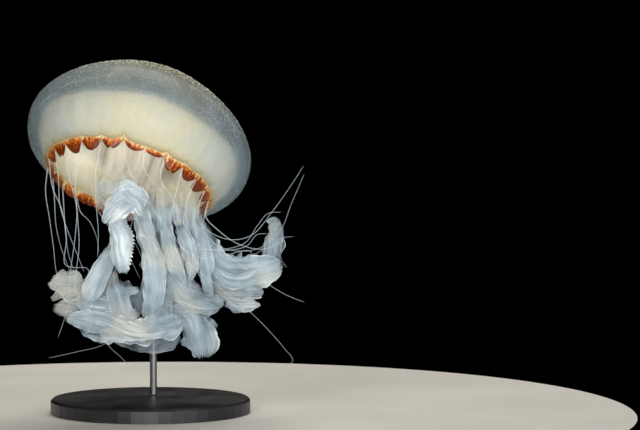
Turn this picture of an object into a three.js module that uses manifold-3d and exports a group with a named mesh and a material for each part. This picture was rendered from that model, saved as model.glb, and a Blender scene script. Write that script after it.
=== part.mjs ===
// A sea nettle jellyfish, life size, in a swimming pose on a plain display stand.
// Millimetres, +Z up. The origin is the middle of the base's underside. The bell leans back
// and to the right, so that its open underside and mouth face -Y. +X is to the right.
import * as THREE from "three";
import Module from "manifold-3d";

const wasm = await Module();
wasm.setup();

const GAP = 0.5; // between pieces that meet
const degrees = THREE.MathUtils.degToRad;

// ---- Driving sizes ----------------------------------------------------------------------

// Bell, in its own frame: +Z is its axis, z = 0 its widest level, -Y its near side.
const BELL_RADIUS = 80;
const CROWN_HEIGHT = 56;
const SHOULDER_FLATTENING = 0.06;
const MARGIN_RADIUS = 60;
const MARGIN_DEPTH = 28;
const BELL_CENTRE = new THREE.Vector3(-7, -6, 188);
const BELL_ROLL = degrees(15); // to the right
const BELL_PITCH = degrees(27.5); // away from the viewer
const AROUND = 36; // facets round the bell

// Milky lining under the clear jelly: the stomach wall and the swimming muscle.
const LINING_RADIUS = 70;
const LINING_CROWN = 22;
const LINING_SHOULDER_FLATTENING = -0.05;
const LINING_THICKNESS = 8;
const LINING_EDGE_THICKNESS = 2.6;
const JELLY_EDGE_THICKNESS = 2.8;
const MARGIN_SLOPE = degrees(30); // of the bell's wall where it ends

// Margin: 24 lobes, parted by clefts that each hold a tentacle. Every third lobe is notched in
// the middle for a sense organ, which makes 32 lappets.
const LOBES = 24;
const LOBE_WIDTH = 360 / LOBES;
const FIRST_NOTCHED = 1; // counted from the far left
const LAPPET_LENGTH = 9;
const LAPPET_THICKNESS = 1.3;
const NEAR_DROOP = 22; // degrees below level at the near side, where the lappets curl in
const DROOP = 42; // at the sides and behind
const DROOP_SPREAD = 30; // degrees round from the near side
const RIM_HEIGHT = 1.6;
const RIM_THICKNESS = 2.2;
const CLEFT_DEPTH = 0.7;

// Manubrium: the four-sided mouth column that carries the arms.
const MOUTH_DEPTH = 40;
const MOUTH_ROOT_RADIUS = 23;
const MOUTH_RADIUS = 17;
const FIRST_PILLAR = 20; // azimuth of the first of the four pillars, in degrees

// Tentacles.
const ROOT_RADIUS = 0.95;
const TIP_RADIUS = 0.4;
const TENTACLE_SIDES = 5;
const STEPS_PER_WAYPOINT = 1.5;

// Oral arms.
const ARM_STEPS = 7; // along each length
const ARM_GAP = 1.8; // between lengths, along the midrib, as the insides of bends come closer
const EDGE_THINNING = 0.7; // share of the midrib's thickness lost at the edges
const EDGE_LAG = 0.35; // turns by which the waves of one edge trail the other's

// Stand.
const BASE_RADIUS = 70;
const BASE_HEIGHT = 10;
const ROD_RADIUS = 2.5;
const ROD_PLACE = new THREE.Vector2(1, 17.6);
const ROD_TIP = [[0, 1], [0.6, 0.75], [1, 0]]; // rounded, in radii of the rod
const ROD_CLEARANCE = 0.3; // radii left above the tip for the slope of the lining

// ---- Colours ----------------------------------------------------------------------------

const material = (color, roughness, metalness = 0) =>
  new THREE.MeshStandardMaterial({ color, roughness, metalness });
const CLEAR_JELLY = material(0xb9c4cc, 0.25);
const MILKY_TISSUE = material(0xe9e2c9, 0.45);
const ORANGE_LAPPET = material(0xc8651b, 0.45);
const WHITE_TISSUE = material(0xdfe6ea, 0.4);
const SATIN_BLACK = material(0x1c1d1f, 0.4);
const SATIN_STEEL = material(0xa9adb0, 0.35, 1);

// ---- Shape helpers ----------------------------------------------------------------------

// A closed solid through rings of points. Its ends are capped, or joined if it runs round.
function loft(rings, runsRound = false) {
  const sides = rings[0].length;
  const points = rings.flat();
  const faces = [];
  const spans = runsRound ? rings.length : rings.length - 1;
  for (let i = 0; i < spans; i++) {
    const here = i * sides;
    const next = ((i + 1) % rings.length) * sides;
    for (let j = 0; j < sides; j++) {
      const k = (j + 1) % sides;
      faces.push(here + j, next + j, next + k, here + j, next + k, here + k);
    }
  }
  if (!runsRound) {
    for (const row of [0, rings.length - 1]) {
      const start = row * sides;
      const middle = points.length;
      const sum = rings[row].reduce((total, p) => total.add(p), new THREE.Vector3());
      points.push(sum.divideScalar(sides));
      for (let j = 0; j < sides; j++) {
        const pair = [start + j, start + ((j + 1) % sides)];
        if (row > 0) pair.reverse();
        faces.push(middle, ...pair);
      }
    }
  }
  return facingOut(points, faces);
}

function facingOut(points, faces) {
  let volume = 0;
  for (let i = 0; i < faces.length; i += 3) {
    const [a, b, c] = [0, 1, 2].map((n) => points[faces[i + n]]);
    volume += a.dot(new THREE.Vector3().crossVectors(b, c));
  }
  if (volume < 0) faces.reverse();
  return new THREE.BufferGeometry().setFromPoints(points).setIndex(faces);
}

// Turns a profile of [radius, height] pairs, from the axis back to the axis, about +Z.
function turned(profile, segments) {
  const points = profile.map(([r, z]) => new THREE.Vector2(r, z));
  const geometry = new THREE.LatheGeometry(points.reverse(), segments);
  return geometry.rotateX(Math.PI / 2);
}

function asSolid(geometry) {
  const positions = geometry.getAttribute("position");
  return new wasm.Manifold(
    new wasm.Mesh({
      numProp: 3,
      vertProperties: new Float32Array(positions.array),
      triVerts: new Uint32Array(geometry.index.array),
    }),
  );
}

function asGeometry(solid) {
  const mesh = solid.getMesh();
  return new THREE.BufferGeometry()
    .setAttribute("position", new THREE.BufferAttribute(mesh.vertProperties, 3))
    .setIndex(new THREE.BufferAttribute(mesh.triVerts, 1));
}

const range = (count) => Array.from({ length: count }, (_, i) => i);
const mix = THREE.MathUtils.lerp;

// ---- Bell profiles, as [radius, height] from the axis to the margin -----------------------

const DOME_STEPS = 7;
const SKIRT_STEPS = 3;

// The skirt below the widest level is an arc that turns in to the margin.
function skirt(radius, marginRadius, depth) {
  const inward = radius - marginRadius;
  const bend = (inward * inward + depth * depth) / (2 * inward);
  const sweep = Math.asin(depth / bend);
  return range(SKIRT_STEPS).map((i) => {
    const angle = (sweep * (i + 1)) / SKIRT_STEPS;
    return [radius - bend + bend * Math.cos(angle), -bend * Math.sin(angle)];
  });
}

function dome(radius, height, flattening, steps) {
  return range(steps + 1).map((i) => {
    const angle = (Math.PI / 2) * (i / steps);
    const size = 1 - flattening * Math.sin(2 * angle) ** 2;
    return [radius * size * Math.sin(angle), height * size * Math.cos(angle)];
  });
}

const outside = [
  ...dome(BELL_RADIUS, CROWN_HEIGHT, SHOULDER_FLATTENING, DOME_STEPS),
  ...skirt(BELL_RADIUS, MARGIN_RADIUS, MARGIN_DEPTH),
];
const underJelly = profileUnder(0);
const overLining = profileUnder(GAP);
const underLining = profileUnder(LINING_THICKNESS, LINING_EDGE_THICKNESS);

// A surface below the clear jelly by the given amount in the middle and at the margin.
function profileUnder(amount, edgeAmount = amount) {
  const edge = JELLY_EDGE_THICKNESS + edgeAmount;
  const radius = LINING_RADIUS - edgeAmount;
  const marginRadius = MARGIN_RADIUS - edge * Math.cos(MARGIN_SLOPE);
  const depth = MARGIN_DEPTH - edge * Math.sin(MARGIN_SLOPE);
  return [
    ...dome(radius, LINING_CROWN - amount, LINING_SHOULDER_FLATTENING, DOME_STEPS - 1),
    ...skirt(radius, marginRadius, depth),
  ];
}

// Height of the lining's underside at a distance from the axis, on its flat facets.
function liningHeight(radius) {
  const i = underLining.findIndex(([r], n) => n > 0 && r >= radius);
  const [[r0, z0], [r1, z1]] = [underLining[i - 1], underLining[i]];
  return mix(z0, z1, (radius - r0) / (r1 - r0));
}

function bellJelly() {
  return turned([...outside, ...[...underJelly].reverse()], AROUND);
}

function bellLining() {
  return turned([...overLining, ...[...underLining].reverse()], AROUND);
}

// ---- Margin -----------------------------------------------------------------------------

const lobes = range(LOBES).map((i) => -180 + LOBE_WIDTH * (i + 0.5));

// A point on the bell at an azimuth in degrees, where 0 is the near side and 90 the right.
function around(azimuth, radius, height) {
  const angle = degrees(azimuth);
  return new THREE.Vector3(radius * Math.sin(angle), -radius * Math.cos(angle), height);
}

// How far below level a lappet points.
function droop(azimuth) {
  const nearness = Math.exp(-((azimuth / DROOP_SPREAD) ** 2));
  return degrees(mix(DROOP, NEAR_DROOP, nearness));
}

// Outlines of the lobes: how far across the lobe, and how far out to the tip.
const PLAIN_LOBE = [
  [0.1, 0],
  [0.22, 0.75],
  [0.5, 1],
  [0.78, 0.75],
  [0.9, 0],
];
const NOTCHED_LOBE = [
  [0.1, 0],
  [0.26, 0.85],
  [0.5, 0.6],
  [0.74, 0.85],
  [0.9, 0],
];

// One ring of rim and lappets: a closed section every few degrees, taken right round.
function marginRing() {
  const [innerRadius, innerHeight] = underLining.at(-1);
  const outerHeight = -MARGIN_DEPTH - GAP;
  const bend = outerHeight - RIM_HEIGHT;
  const sections = lobes.flatMap((start, i) =>
    (i % 3 === FIRST_NOTCHED ? NOTCHED_LOBE : PLAIN_LOBE).map(([across, share]) => {
      const azimuth = start + LOBE_WIDTH * across;
      const angle = droop(start + LOBE_WIDTH / 2);
      const reach = CLEFT_DEPTH + LAPPET_LENGTH * share;
      const tipRadius = MARGIN_RADIUS - reach * Math.cos(angle);
      const tipHeight = bend - reach * Math.sin(angle);
      const lift = LAPPET_THICKNESS * Math.cos(angle);
      return [
        [MARGIN_RADIUS, outerHeight],
        [MARGIN_RADIUS, bend],
        [tipRadius, tipHeight],
        [tipRadius, tipHeight + lift],
        [MARGIN_RADIUS - RIM_THICKNESS, bend + lift],
        [innerRadius, innerHeight - GAP],
      ].map(([radius, height]) => around(azimuth, radius, height));
    }),
  );
  return loft(sections, true);
}

// ---- Manubrium --------------------------------------------------------------------------

// Four pillars, one for each arm, between the lining and the mouth. Grown by `extra`.
function manubrium(extra = 0) {
  const levels = 6;
  const sides = 16;
  const rings = range(levels).map((level) => {
    const down = level / (levels - 1);
    return range(sides).map((j) => {
      const fromPillar = (360 * j) / sides;
      const azimuth = FIRST_PILLAR + fromPillar;
      const pillar = 1 + mix(0.1, 0.22, down) * Math.cos(degrees(4 * fromPillar));
      const radius = mix(MOUTH_ROOT_RADIUS, MOUTH_RADIUS, Math.sqrt(down)) * pillar + extra;
      const top = liningHeight(radius) - GAP + extra;
      return around(azimuth, radius, mix(top, -MOUTH_DEPTH - extra, down));
    });
  });
  return loft(rings);
}

// ---- Routes -----------------------------------------------------------------------------

// A smooth curve through rows of numbers, of which the first three are a place.
function route(rows) {
  const curve = new THREE.CatmullRomCurve3(rows.map(([x, y, z]) => new THREE.Vector3(x, y, z)));
  const last = rows.length - 1;
  return {
    at: (share) => curve.getPoint(share),
    along: (share) => curve.getTangent(share),
    value: (share, column) => {
      const place = Math.min(share * last, last - 1e-6);
      const row = Math.floor(place);
      return mix(rows[row][column], rows[row + 1][column], place - row);
    },
    length: curve.getLength(),
  };
}

// Shares of a route where each of its lengths starts and ends, with a gap between lengths.
function lengthsOf(total, length, gap) {
  const half = gap / 2 / length;
  return range(total).map((i) => [
    i === 0 ? 0 : i / total + half,
    i === total - 1 ? 1 : (i + 1) / total - half,
  ]);
}

// ---- Tentacles --------------------------------------------------------------------------

// Azimuth of the cleft that each grows from, its name, its number of lengths, and the
// waypoints of its route below the margin, in the part's frame.
const TENTACLES = [
  { cleft: -97.5, name: "left_outer", lengths: 2,
    way: [[-71, -21, 156], [-68, -26, 138], [-65, -30, 119], [-62, -34, 99], [-56, -36, 89]] },
  { cleft: -67.5, name: "left_near", lengths: 2,
    way: [[-60, -44, 168], [-59, -44, 148], [-55, -42, 133], [-49, -40, 117], [-43, -38, 101]] },
  { cleft: -82.5, name: "left_looped", lengths: 2,
    way: [[-65, -35, 160], [-58, -40, 144], [-55, -41, 125], [-56, -42, 107], [-50, -44, 105],
      [-40, -45, 104], [-42, -42, 89], [-41, -40, 75]] },
  { cleft: -112.5, name: "left_far", lengths: 1,
    way: [[-67, 2, 149], [-66, 1, 132], [-62, -1, 115], [-55, -3, 97]] },
  { cleft: -127.5, name: "left_rear", lengths: 1,
    way: [[-61, 9, 142], [-60, 8, 126], [-57, 6, 108], [-49, 2, 89]] },
  { cleft: -52.5, name: "left_long", lengths: 2,
    way: [[-52, -54, 169], [-47, -52, 147], [-48, -50, 128], [-52, -50, 99], [-54, -48, 77],
      [-61, -44, 56]] },
  { cleft: -37.5, name: "left_hooked", lengths: 2,
    way: [[-47, -60, 166], [-46, -57, 142], [-45, -56, 121], [-48, -54, 94], [-46, -50, 78],
      [-41, -47, 75]] },
  { cleft: -22.5, name: "near_left", lengths: 1,
    way: [[-33, -64, 169], [-33, -58, 148], [-32, -54, 129], [-33, -50, 112]] },
  { cleft: -142.5, name: "far_left", lengths: 1,
    way: [[-50, 16, 140], [-43, 12, 133], [-38, 8, 122], [-36, 4, 111]] },
  { cleft: -7.5, name: "near_longest", lengths: 3,
    way: [[-11, -68, 176], [-5, -64, 162], [5, -56, 146], [16, -46, 129], [27, -40, 110],
      [51, -32, 89], [74, -20, 69], [94, -10, 46], [100, -8, 37], [92, -7, 32]] },
  { cleft: 7.5, name: "near_middle", lengths: 1,
    way: [[0, -68, 174], [10, -58, 159], [22, -48, 146], [28, -40, 129], [32, -36, 108]] },
  { cleft: 22.5, name: "near_sweeping", lengths: 2,
    way: [[11, -66, 167], [19, -60, 152], [20, -54, 137], [28, -48, 121], [47, -42, 117],
      [67, -34, 121], [76, -28, 133], [83, -26, 141], [93, -25, 142]] },
  { cleft: 37.5, name: "right_near", lengths: 1,
    way: [[20, -56, 152], [17, -52, 137], [23, -51, 121], [37, -50, 112], [56, -46, 114],
      [71, -42, 116], [73, -40, 107]] },
  { cleft: 52.5, name: "right_bowed", lengths: 1,
    way: [[28, -50, 149], [28, -46, 133], [39, -38, 118], [57, -31, 116], [69, -26, 119],
      [75, -23, 126], [83, -22, 127]] },
  { cleft: 67.5, name: "right_crossing", lengths: 2,
    way: [[36, -40, 147], [36, -36, 136], [44, -33, 128], [58, -28, 123], [72, -22, 126],
      [86, -16, 142], [99, -10, 160], [108, -8, 174]] },
  { cleft: 82.5, name: "right_curled", lengths: 2,
    way: [[40, -26, 139], [48, -26, 130], [62, -24, 120], [78, -22, 116], [89, -20, 119],
      [94, -19, 124], [92, -19, 128]] },
  { cleft: 97.5, name: "right_rising", lengths: 2,
    way: [[38, -20, 130], [48, -22, 118], [59, -24, 109], [81, -20, 93], [95, -16, 84],
      [109, -12, 78]] },
  { cleft: 112.5, name: "right_hidden", lengths: 2,
    way: [[39, 2, 123], [54, 6, 114], [75, 14, 114], [90, 18, 125], [99, 20, 146],
      [108, 20, 167]] },
  { cleft: 127.5, name: "far_right_rising", lengths: 2,
    way: [[25, 15, 117], [35, 20, 107], [54, 24, 104], [78, 26, 112], [93, 26, 121],
      [101, 26, 122]] },
  { cleft: 142.5, name: "far_right", lengths: 1,
    way: [[16, 20, 118], [20, 22, 103], [33, 22, 88], [57, 18, 73]] },
  { cleft: 157.5, name: "far_trailing", lengths: 2,
    way: [[3, 26, 111], [-2, 27, 85], [-13, 18, 62], [-33, 8, 47], [-53, 2, 42], [-72, 0, 38]] },
  { cleft: 172.5, name: "far_crossing", lengths: 3,
    way: [[-21, 22, 111], [-31, 14, 85], [-36, 6, 63], [-31, 0, 49], [-20, -6, 39], [-11, -10, 31],
      [0, -12, 29]] },
  { cleft: -172.5, name: "far_middle", lengths: 1,
    way: [[-20, 21, 126], [-11, 15, 117], [-4, 8, 101]] },
  { cleft: -157.5, name: "far_inner", lengths: 1,
    way: [[-28, 19, 126], [-18, 12, 113], [-7, 4, 93]] },
];

const bellFrame = new THREE.Matrix4()
  .makeRotationFromEuler(new THREE.Euler(-BELL_PITCH, BELL_ROLL, 0, "YXZ"))
  .setPosition(BELL_CENTRE);

// The first places of a tentacle: under the rim in its cleft, then clear of the lappets.
function rootOf(cleft) {
  const rimHeight = -MARGIN_DEPTH - GAP - RIM_HEIGHT - CLEFT_DEPTH;
  return [
    around(cleft, MARGIN_RADIUS - 1.7, rimHeight - GAP),
    around(cleft, MARGIN_RADIUS - 3, rimHeight - GAP - 7),
  ].map((point) => point.applyMatrix4(bellFrame).toArray());
}

function tentacleLength(path, from, to, steps) {
  return loft(
    range(steps + 1).map((i) => {
      const share = mix(from, to, i / steps);
      const along = path.along(share);
      const side = new THREE.Vector3(0, 1, 0).cross(along);
      if (side.length() < 0.1) side.set(1, 0, 0);
      side.normalize();
      const across = new THREE.Vector3().crossVectors(along, side);
      const radius = mix(ROOT_RADIUS, TIP_RADIUS, share ** 0.6);
      return range(TENTACLE_SIDES).map((j) => {
        const angle = (2 * Math.PI * j) / TENTACLE_SIDES;
        return path
          .at(share)
          .addScaledVector(side, radius * Math.cos(angle))
          .addScaledVector(across, radius * Math.sin(angle));
      });
    }),
  );
}

// ---- Oral arms --------------------------------------------------------------------------

// Stations down each arm: x, y, z, half width, half thickness, and how far the ribbon is
// turned from facing -Y, in degrees. Each arm is cut into the named lengths.
const ARMS = [
  { name: "arm_left", lengths: ["upper", "lower", "end"], ruffle: 2.2, waves: 5,
    stations: [[-23, -28, 159, 5, 3, -20], [-20, -28, 142, 6, 3, 0], [-22, -30, 126, 7, 3, 10],
      [-27, -29, 110, 8, 4, 0], [-34, -27, 99, 8, 5, 0], [-42, -25, 90, 8, 7, 5],
      [-49, -22, 88, 9.5, 9, 10], [-58, -19, 90, 11, 9, 10], [-67, -16, 91, 6, 5, 0]] },
  { name: "arm_left_flap", lengths: [""], ruffle: 1.5, waves: 3,
    stations: [[-16, -37, 160, 7, 2.5, 0], [-15, -42, 148, 12, 2.5, -10],
      [-18, -44, 136, 8, 2.5, 0], [-16, -44, 123, 7, 2.5, 0], [-15, -42, 111, 5.5, 2, 0],
      [-14, -40, 100, 2, 1.2, 0]] },
  { name: "arm_middle", lengths: ["upper", "lower", "roll"], ruffle: 2.6, waves: 7,
    stations: [[-6, -32, 159, 6, 3, 0], [-2, -30, 145, 8, 3.5, 0], [-1, -26, 130, 9, 4, 0],
      [1, -24, 113, 9, 5, 0], [5, -22, 93, 10, 6, 0], [12, -21, 78, 11, 7, 0],
      [10, -22, 65, 11, 8, 0], [-3, -24, 58, 13, 10, -10], [-22, -25, 63, 16, 10, -25],
      [-40, -24, 66, 12, 9, -10], [-54, -22, 70, 6, 5, 0]] },
  { name: "arm_rear", lengths: ["upper", "lower", "pouch"], ruffle: 2, waves: 6,
    stations: [[-19, -12, 150, 6, 3, 0], [-9, -6, 139, 7, 3, 0], [7, 1, 125, 8, 4, 0],
      [14, 4, 105, 8, 4, 0], [21, 5, 88, 11, 4.5, 0], [27, 2, 72, 12, 6, 10],
      [33, -3, 58, 12, 9, 0], [34, -5, 46, 11, 8, 0], [35, -5, 40, 8, 5, 0]] },
  { name: "arm_right", lengths: ["upper", "sweep", "finger"], ruffle: 2.4, waves: 7,
    stations: [[-6, -18, 152, 6, 3, 0], [8, -16, 146, 6, 3, 0], [21, -14, 134, 7.5, 3.5, 0],
      [27, -12, 120, 9, 4, 0], [39, -9, 104, 13, 5, 10], [56, -4, 96, 16, 6, 10],
      [71, -1, 96, 14, 7, 0], [82, 0, 103, 10, 6, 0], [87, -1, 116, 6, 4, 0],
      [88, -3, 135, 4, 3, 0]] },
];

const ACROSS = [-1, -0.5, 0, 0.5, 1];

// One length of an arm: a ribbon, thick at its midrib, whose edges wave from side to side.
function armLength(path, from, to, { ruffle, waves }) {
  return loft(
    range(ARM_STEPS + 1).map((i) => {
      const share = mix(from, to, i / ARM_STEPS);
      const centre = path.at(share);
      const along = path.along(share);
      const level = new THREE.Vector3(0, 1, 0).cross(along).normalize();
      const width = level.applyAxisAngle(along, degrees(path.value(share, 5)));
      const face = new THREE.Vector3().crossVectors(along, width);
      const halfWidth = path.value(share, 3);
      const halfThick = path.value(share, 4);
      const place = (x, side) => {
        const wave = Math.sin(2 * Math.PI * (waves * share + (x < 0 ? EDGE_LAG : 0)));
        const bend = ruffle * x * x * wave;
        const thick = halfThick * (1 - EDGE_THINNING * x * x);
        return centre
          .clone()
          .addScaledVector(width, halfWidth * x)
          .addScaledVector(face, bend + side * thick);
      };
      return [...ACROSS.map((x) => place(x, 1)), ...[...ACROSS].reverse().map((x) => place(x, -1))];
    }),
  );
}

// ---- Stand ------------------------------------------------------------------------------

function standBase() {
  const bevel = 1.5;
  return turned(
    [
      [0, BASE_HEIGHT],
      [BASE_RADIUS - bevel, BASE_HEIGHT],
      [BASE_RADIUS, BASE_HEIGHT - bevel],
      [BASE_RADIUS, 0],
      [0, 0],
    ],
    48,
  );
}

// Height at which an upright line through the rod's place meets the lining's underside.
function rodTop() {
  const toBell = bellFrame.clone().invert();
  let height = BELL_CENTRE.z - MARGIN_DEPTH;
  const clear = () => {
    const point = new THREE.Vector3(ROD_PLACE.x, ROD_PLACE.y, height).applyMatrix4(toBell);
    return liningHeight(Math.hypot(point.x, point.y)) - point.z;
  };
  while (clear() > GAP + ROD_RADIUS * ROD_CLEARANCE) height += 0.05;
  return height;
}

function standRod() {
  const shoulder = rodTop() - ROD_RADIUS;
  const bottom = BASE_HEIGHT + GAP;
  const tip = ROD_TIP.map(([out, up]) => [ROD_RADIUS * out, shoulder + ROD_RADIUS * up]);
  const profile = [...tip, [ROD_RADIUS, bottom], [0, bottom]];
  return turned(profile, 16).translate(ROD_PLACE.x, ROD_PLACE.y, 0);
}

// ---- Assembly ---------------------------------------------------------------------------

const jellyfish = new THREE.Group();
const bell = new THREE.Group();
bell.applyMatrix4(bellFrame);
jellyfish.add(bell);

function add(parent, name, geometry, look) {
  const mesh = new THREE.Mesh(geometry, look);
  mesh.name = name;
  parent.add(mesh);
}

add(bell, "bell_jelly", bellJelly(), CLEAR_JELLY);
add(bell, "bell_lining", bellLining(), MILKY_TISSUE);
add(bell, "margin_lappets", marginRing(), ORANGE_LAPPET);
add(bell, "manubrium", manubrium(), MILKY_TISSUE);

for (const { cleft, name, lengths, way } of TENTACLES) {
  const rows = [...rootOf(cleft), ...way];
  const path = route(rows);
  const steps = Math.round(((rows.length - 1) * STEPS_PER_WAYPOINT) / lengths);
  lengthsOf(lengths, path.length, GAP).forEach(([from, to], i) => {
    const label = lengths > 1 ? `_${i + 1}` : "";
    add(jellyfish, `tentacle_${name}${label}`, tentacleLength(path, from, to, steps), WHITE_TISSUE);
  });
}

// The arms start inside the manubrium, and are cut back to meet its outside.
const mouth = asSolid(manubrium(GAP).applyMatrix4(bellFrame));
for (const arm of ARMS) {
  const path = route(arm.stations);
  lengthsOf(arm.lengths.length, path.length, ARM_GAP).forEach(([from, to], i) => {
    const whole = armLength(path, from, to, arm);
    const shape = i === 0 ? asGeometry(asSolid(whole).subtract(mouth)) : whole;
    const label = arm.lengths[i] ? `_${arm.lengths[i]}` : "";
    add(jellyfish, arm.name + label, shape, WHITE_TISSUE);
  });
}

add(jellyfish, "stand_base", standBase(), SATIN_BLACK);
add(jellyfish, "stand_rod", standRod(), SATIN_STEEL);

export default jellyfish;
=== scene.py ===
# A sea nettle jellyfish, life size, on a plain display stand.
# Lengths are millimetres until a mesh is built, and angles are degrees.
import math

import bmesh
import bpy
import numpy as np
from mathutils import Matrix, Vector


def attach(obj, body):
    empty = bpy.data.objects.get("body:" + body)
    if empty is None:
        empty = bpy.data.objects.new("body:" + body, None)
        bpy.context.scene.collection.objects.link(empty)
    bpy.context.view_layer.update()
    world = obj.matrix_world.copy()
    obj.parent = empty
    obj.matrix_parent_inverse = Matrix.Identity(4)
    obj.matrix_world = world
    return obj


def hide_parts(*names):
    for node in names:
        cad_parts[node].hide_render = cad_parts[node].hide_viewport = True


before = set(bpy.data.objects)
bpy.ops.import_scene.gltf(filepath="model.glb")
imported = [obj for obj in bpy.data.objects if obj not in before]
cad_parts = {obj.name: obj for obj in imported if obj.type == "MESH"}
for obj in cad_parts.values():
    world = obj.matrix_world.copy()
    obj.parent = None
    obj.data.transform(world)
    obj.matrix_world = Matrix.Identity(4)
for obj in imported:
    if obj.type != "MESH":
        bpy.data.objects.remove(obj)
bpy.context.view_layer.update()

MM = 0.001

# ---- Driving sizes, the same as the solids' ----------------------------------------------

BELL_RADIUS = 80
CROWN_HEIGHT = 56
SHOULDER_FLATTENING = 0.06
MARGIN_RADIUS = 60
MARGIN_DEPTH = 28
BELL_CENTRE = np.array([-7, -6, 188])
BELL_ROLL = 15
BELL_PITCH = 27.5

LINING_RADIUS = 70
LINING_CROWN = 22
LINING_SHOULDER_FLATTENING = -0.05
LINING_THICKNESS = 8
LINING_EDGE_THICKNESS = 2.6
JELLY_EDGE_THICKNESS = 2.8
MARGIN_SLOPE = 30

LOBES = 24
LOBE_WIDTH = 360 / LOBES
FIRST_NOTCHED = 1
LAPPET_LENGTH = 9
LAPPET_THICKNESS = 0.75
NEAR_DROOP = 22
DROOP = 42
DROOP_SPREAD = 30
RIM_HEIGHT = 2.1
CLEFT_DEPTH = 0.7

STOMACH_AZIMUTH = 8

MOUTH_DEPTH = 40
MOUTH_ROOT_RADIUS = 23
MOUTH_RADIUS = 17
FIRST_PILLAR = 20

ROOT_RADIUS = 0.95
TIP_RADIUS = 0.4
EDGE_THINNING = 0.7
EDGE_LAG = 0.35

# ---- How the skin lies in the solids -----------------------------------------------------

BELL_INSET = 0.8  # clears the solids' flat facets, and leaves room for the warts
INNER_INSET = 0.3
UNDER_ROWS = 24  # of points down the hollow's dome, with half as many below it
TENTACLE_FILL = 0.48  # of the solid's radius
CORE_WIDTH = 0.45  # of the arm's, for the flesh in the middle of its membranes
CORE_THICKNESS = 0.4
CURTAINS = {"arm_left": 4, "arm_left_flap": 2, "arm_middle": 5, "arm_rear": 5, "arm_right": 4}
CURTAIN_ENDS = {"arm_right": 0.72}  # as a share of its length, where they stop short of the tip

# ---- Numbers and curves ------------------------------------------------------------------

CHANCE = np.random.default_rng(24).uniform(-1, 1, 4096)


def drift(x, y=0.0, seed=0):
    """Smooth noise from -1 to 1, with a new value at each whole x and y."""
    x, y = np.broadcast_arrays(np.asarray(x, float), np.asarray(y, float))
    i, j = np.floor(x).astype(int), np.floor(y).astype(int)
    a, b = x - i, y - j
    a, b = a * a * (3 - 2 * a), b * b * (3 - 2 * b)

    def value(m, n):
        return CHANCE[(m * 157 + n * 311 + seed * 613) % len(CHANCE)]

    low = value(i, j) * (1 - a) + value(i + 1, j) * a
    high = value(i, j + 1) * (1 - a) + value(i + 1, j + 1) * a
    return low * (1 - b) + high * b


def mix(a, b, share):
    return a + (b - a) * share


def smooth(x, low, high):
    """0 below low, 1 above high, and an even curve between them."""
    t = np.clip((x - low) / (high - low), 0, 1)
    return t * t * (3 - 2 * t)


def unit(vectors):
    return vectors / np.linalg.norm(vectors, axis=-1, keepdims=True)


def sin(angle):
    return np.sin(np.radians(angle))


def cos(angle):
    return np.cos(np.radians(angle))


def around(azimuth, radius, height):
    """Points on the bell, where azimuth 0 is the near side and 90 the right."""
    parts = np.broadcast_arrays(radius * sin(azimuth), -radius * cos(azimuth), height)
    return np.stack(parts, -1)


BELL_TURN = np.array(
    Matrix.Rotation(math.radians(BELL_ROLL), 3, "Y")
    @ Matrix.Rotation(math.radians(-BELL_PITCH), 3, "X")
)


def in_place(points):
    """From the bell's own frame, whose +Z is its axis, to the part's."""
    return points @ BELL_TURN.T + BELL_CENTRE


class Route:
    """A smooth curve through rows of numbers, of which the first three are a place."""

    def __init__(self, rows):
        self.rows = np.array(rows, float)
        points = self.rows[:, :3]
        first, last = 2 * points[0] - points[1], 2 * points[-1] - points[-2]
        self.points = np.vstack([first, points, last])
        fine = self.at(np.linspace(0, 1, 400))
        steps = np.linalg.norm(np.diff(fine, axis=0), axis=1)
        self.travelled = np.concatenate([[0], np.cumsum(steps)])
        self.length = self.travelled[-1]

    def at(self, share):
        place = np.clip(np.asarray(share, float), 0, 1) * (len(self.points) - 3)
        i = np.minimum(np.floor(place).astype(int), len(self.points) - 4)
        t = (place - i)[..., None]
        p0, p1, p2, p3 = (self.points[i + n] for n in range(4))
        d0, d1, d2 = (
            np.sqrt(np.linalg.norm(b - a, axis=-1, keepdims=True))
            for a, b in ((p0, p1), (p1, p2), (p2, p3))
        )
        m1 = ((p1 - p0) / d0 - (p2 - p0) / (d0 + d1) + (p2 - p1) / d1) * d1
        m2 = ((p2 - p1) / d1 - (p3 - p1) / (d1 + d2) + (p3 - p2) / d2) * d1
        cubic = 2 * p1 - 2 * p2 + m1 + m2
        square = -3 * p1 + 3 * p2 - 2 * m1 - m2
        return ((cubic * t + square) * t + m1) * t + p1

    def along(self, share):
        ahead, behind = np.minimum(share + 1e-3, 1), np.maximum(share - 1e-3, 0)
        return unit(self.at(ahead) - self.at(behind))

    def value(self, share, column):
        return np.interp(share, np.linspace(0, 1, len(self.rows)), self.rows[:, column])

    def travel(self, share):
        """Distance along the curve."""
        return np.interp(share, np.linspace(0, 1, len(self.travelled)), self.travelled)

    def evenly(self, start, end, spacing):
        """Shares from start to end whose places are about evenly spaced."""
        low, high = self.travel(start), self.travel(end)
        count = max(int((high - low) / spacing), 4) + 1
        goals = np.linspace(low, high, count)
        return np.interp(goals, self.travelled, np.linspace(0, 1, len(self.travelled)))


# ---- Building meshes ---------------------------------------------------------------------


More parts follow.
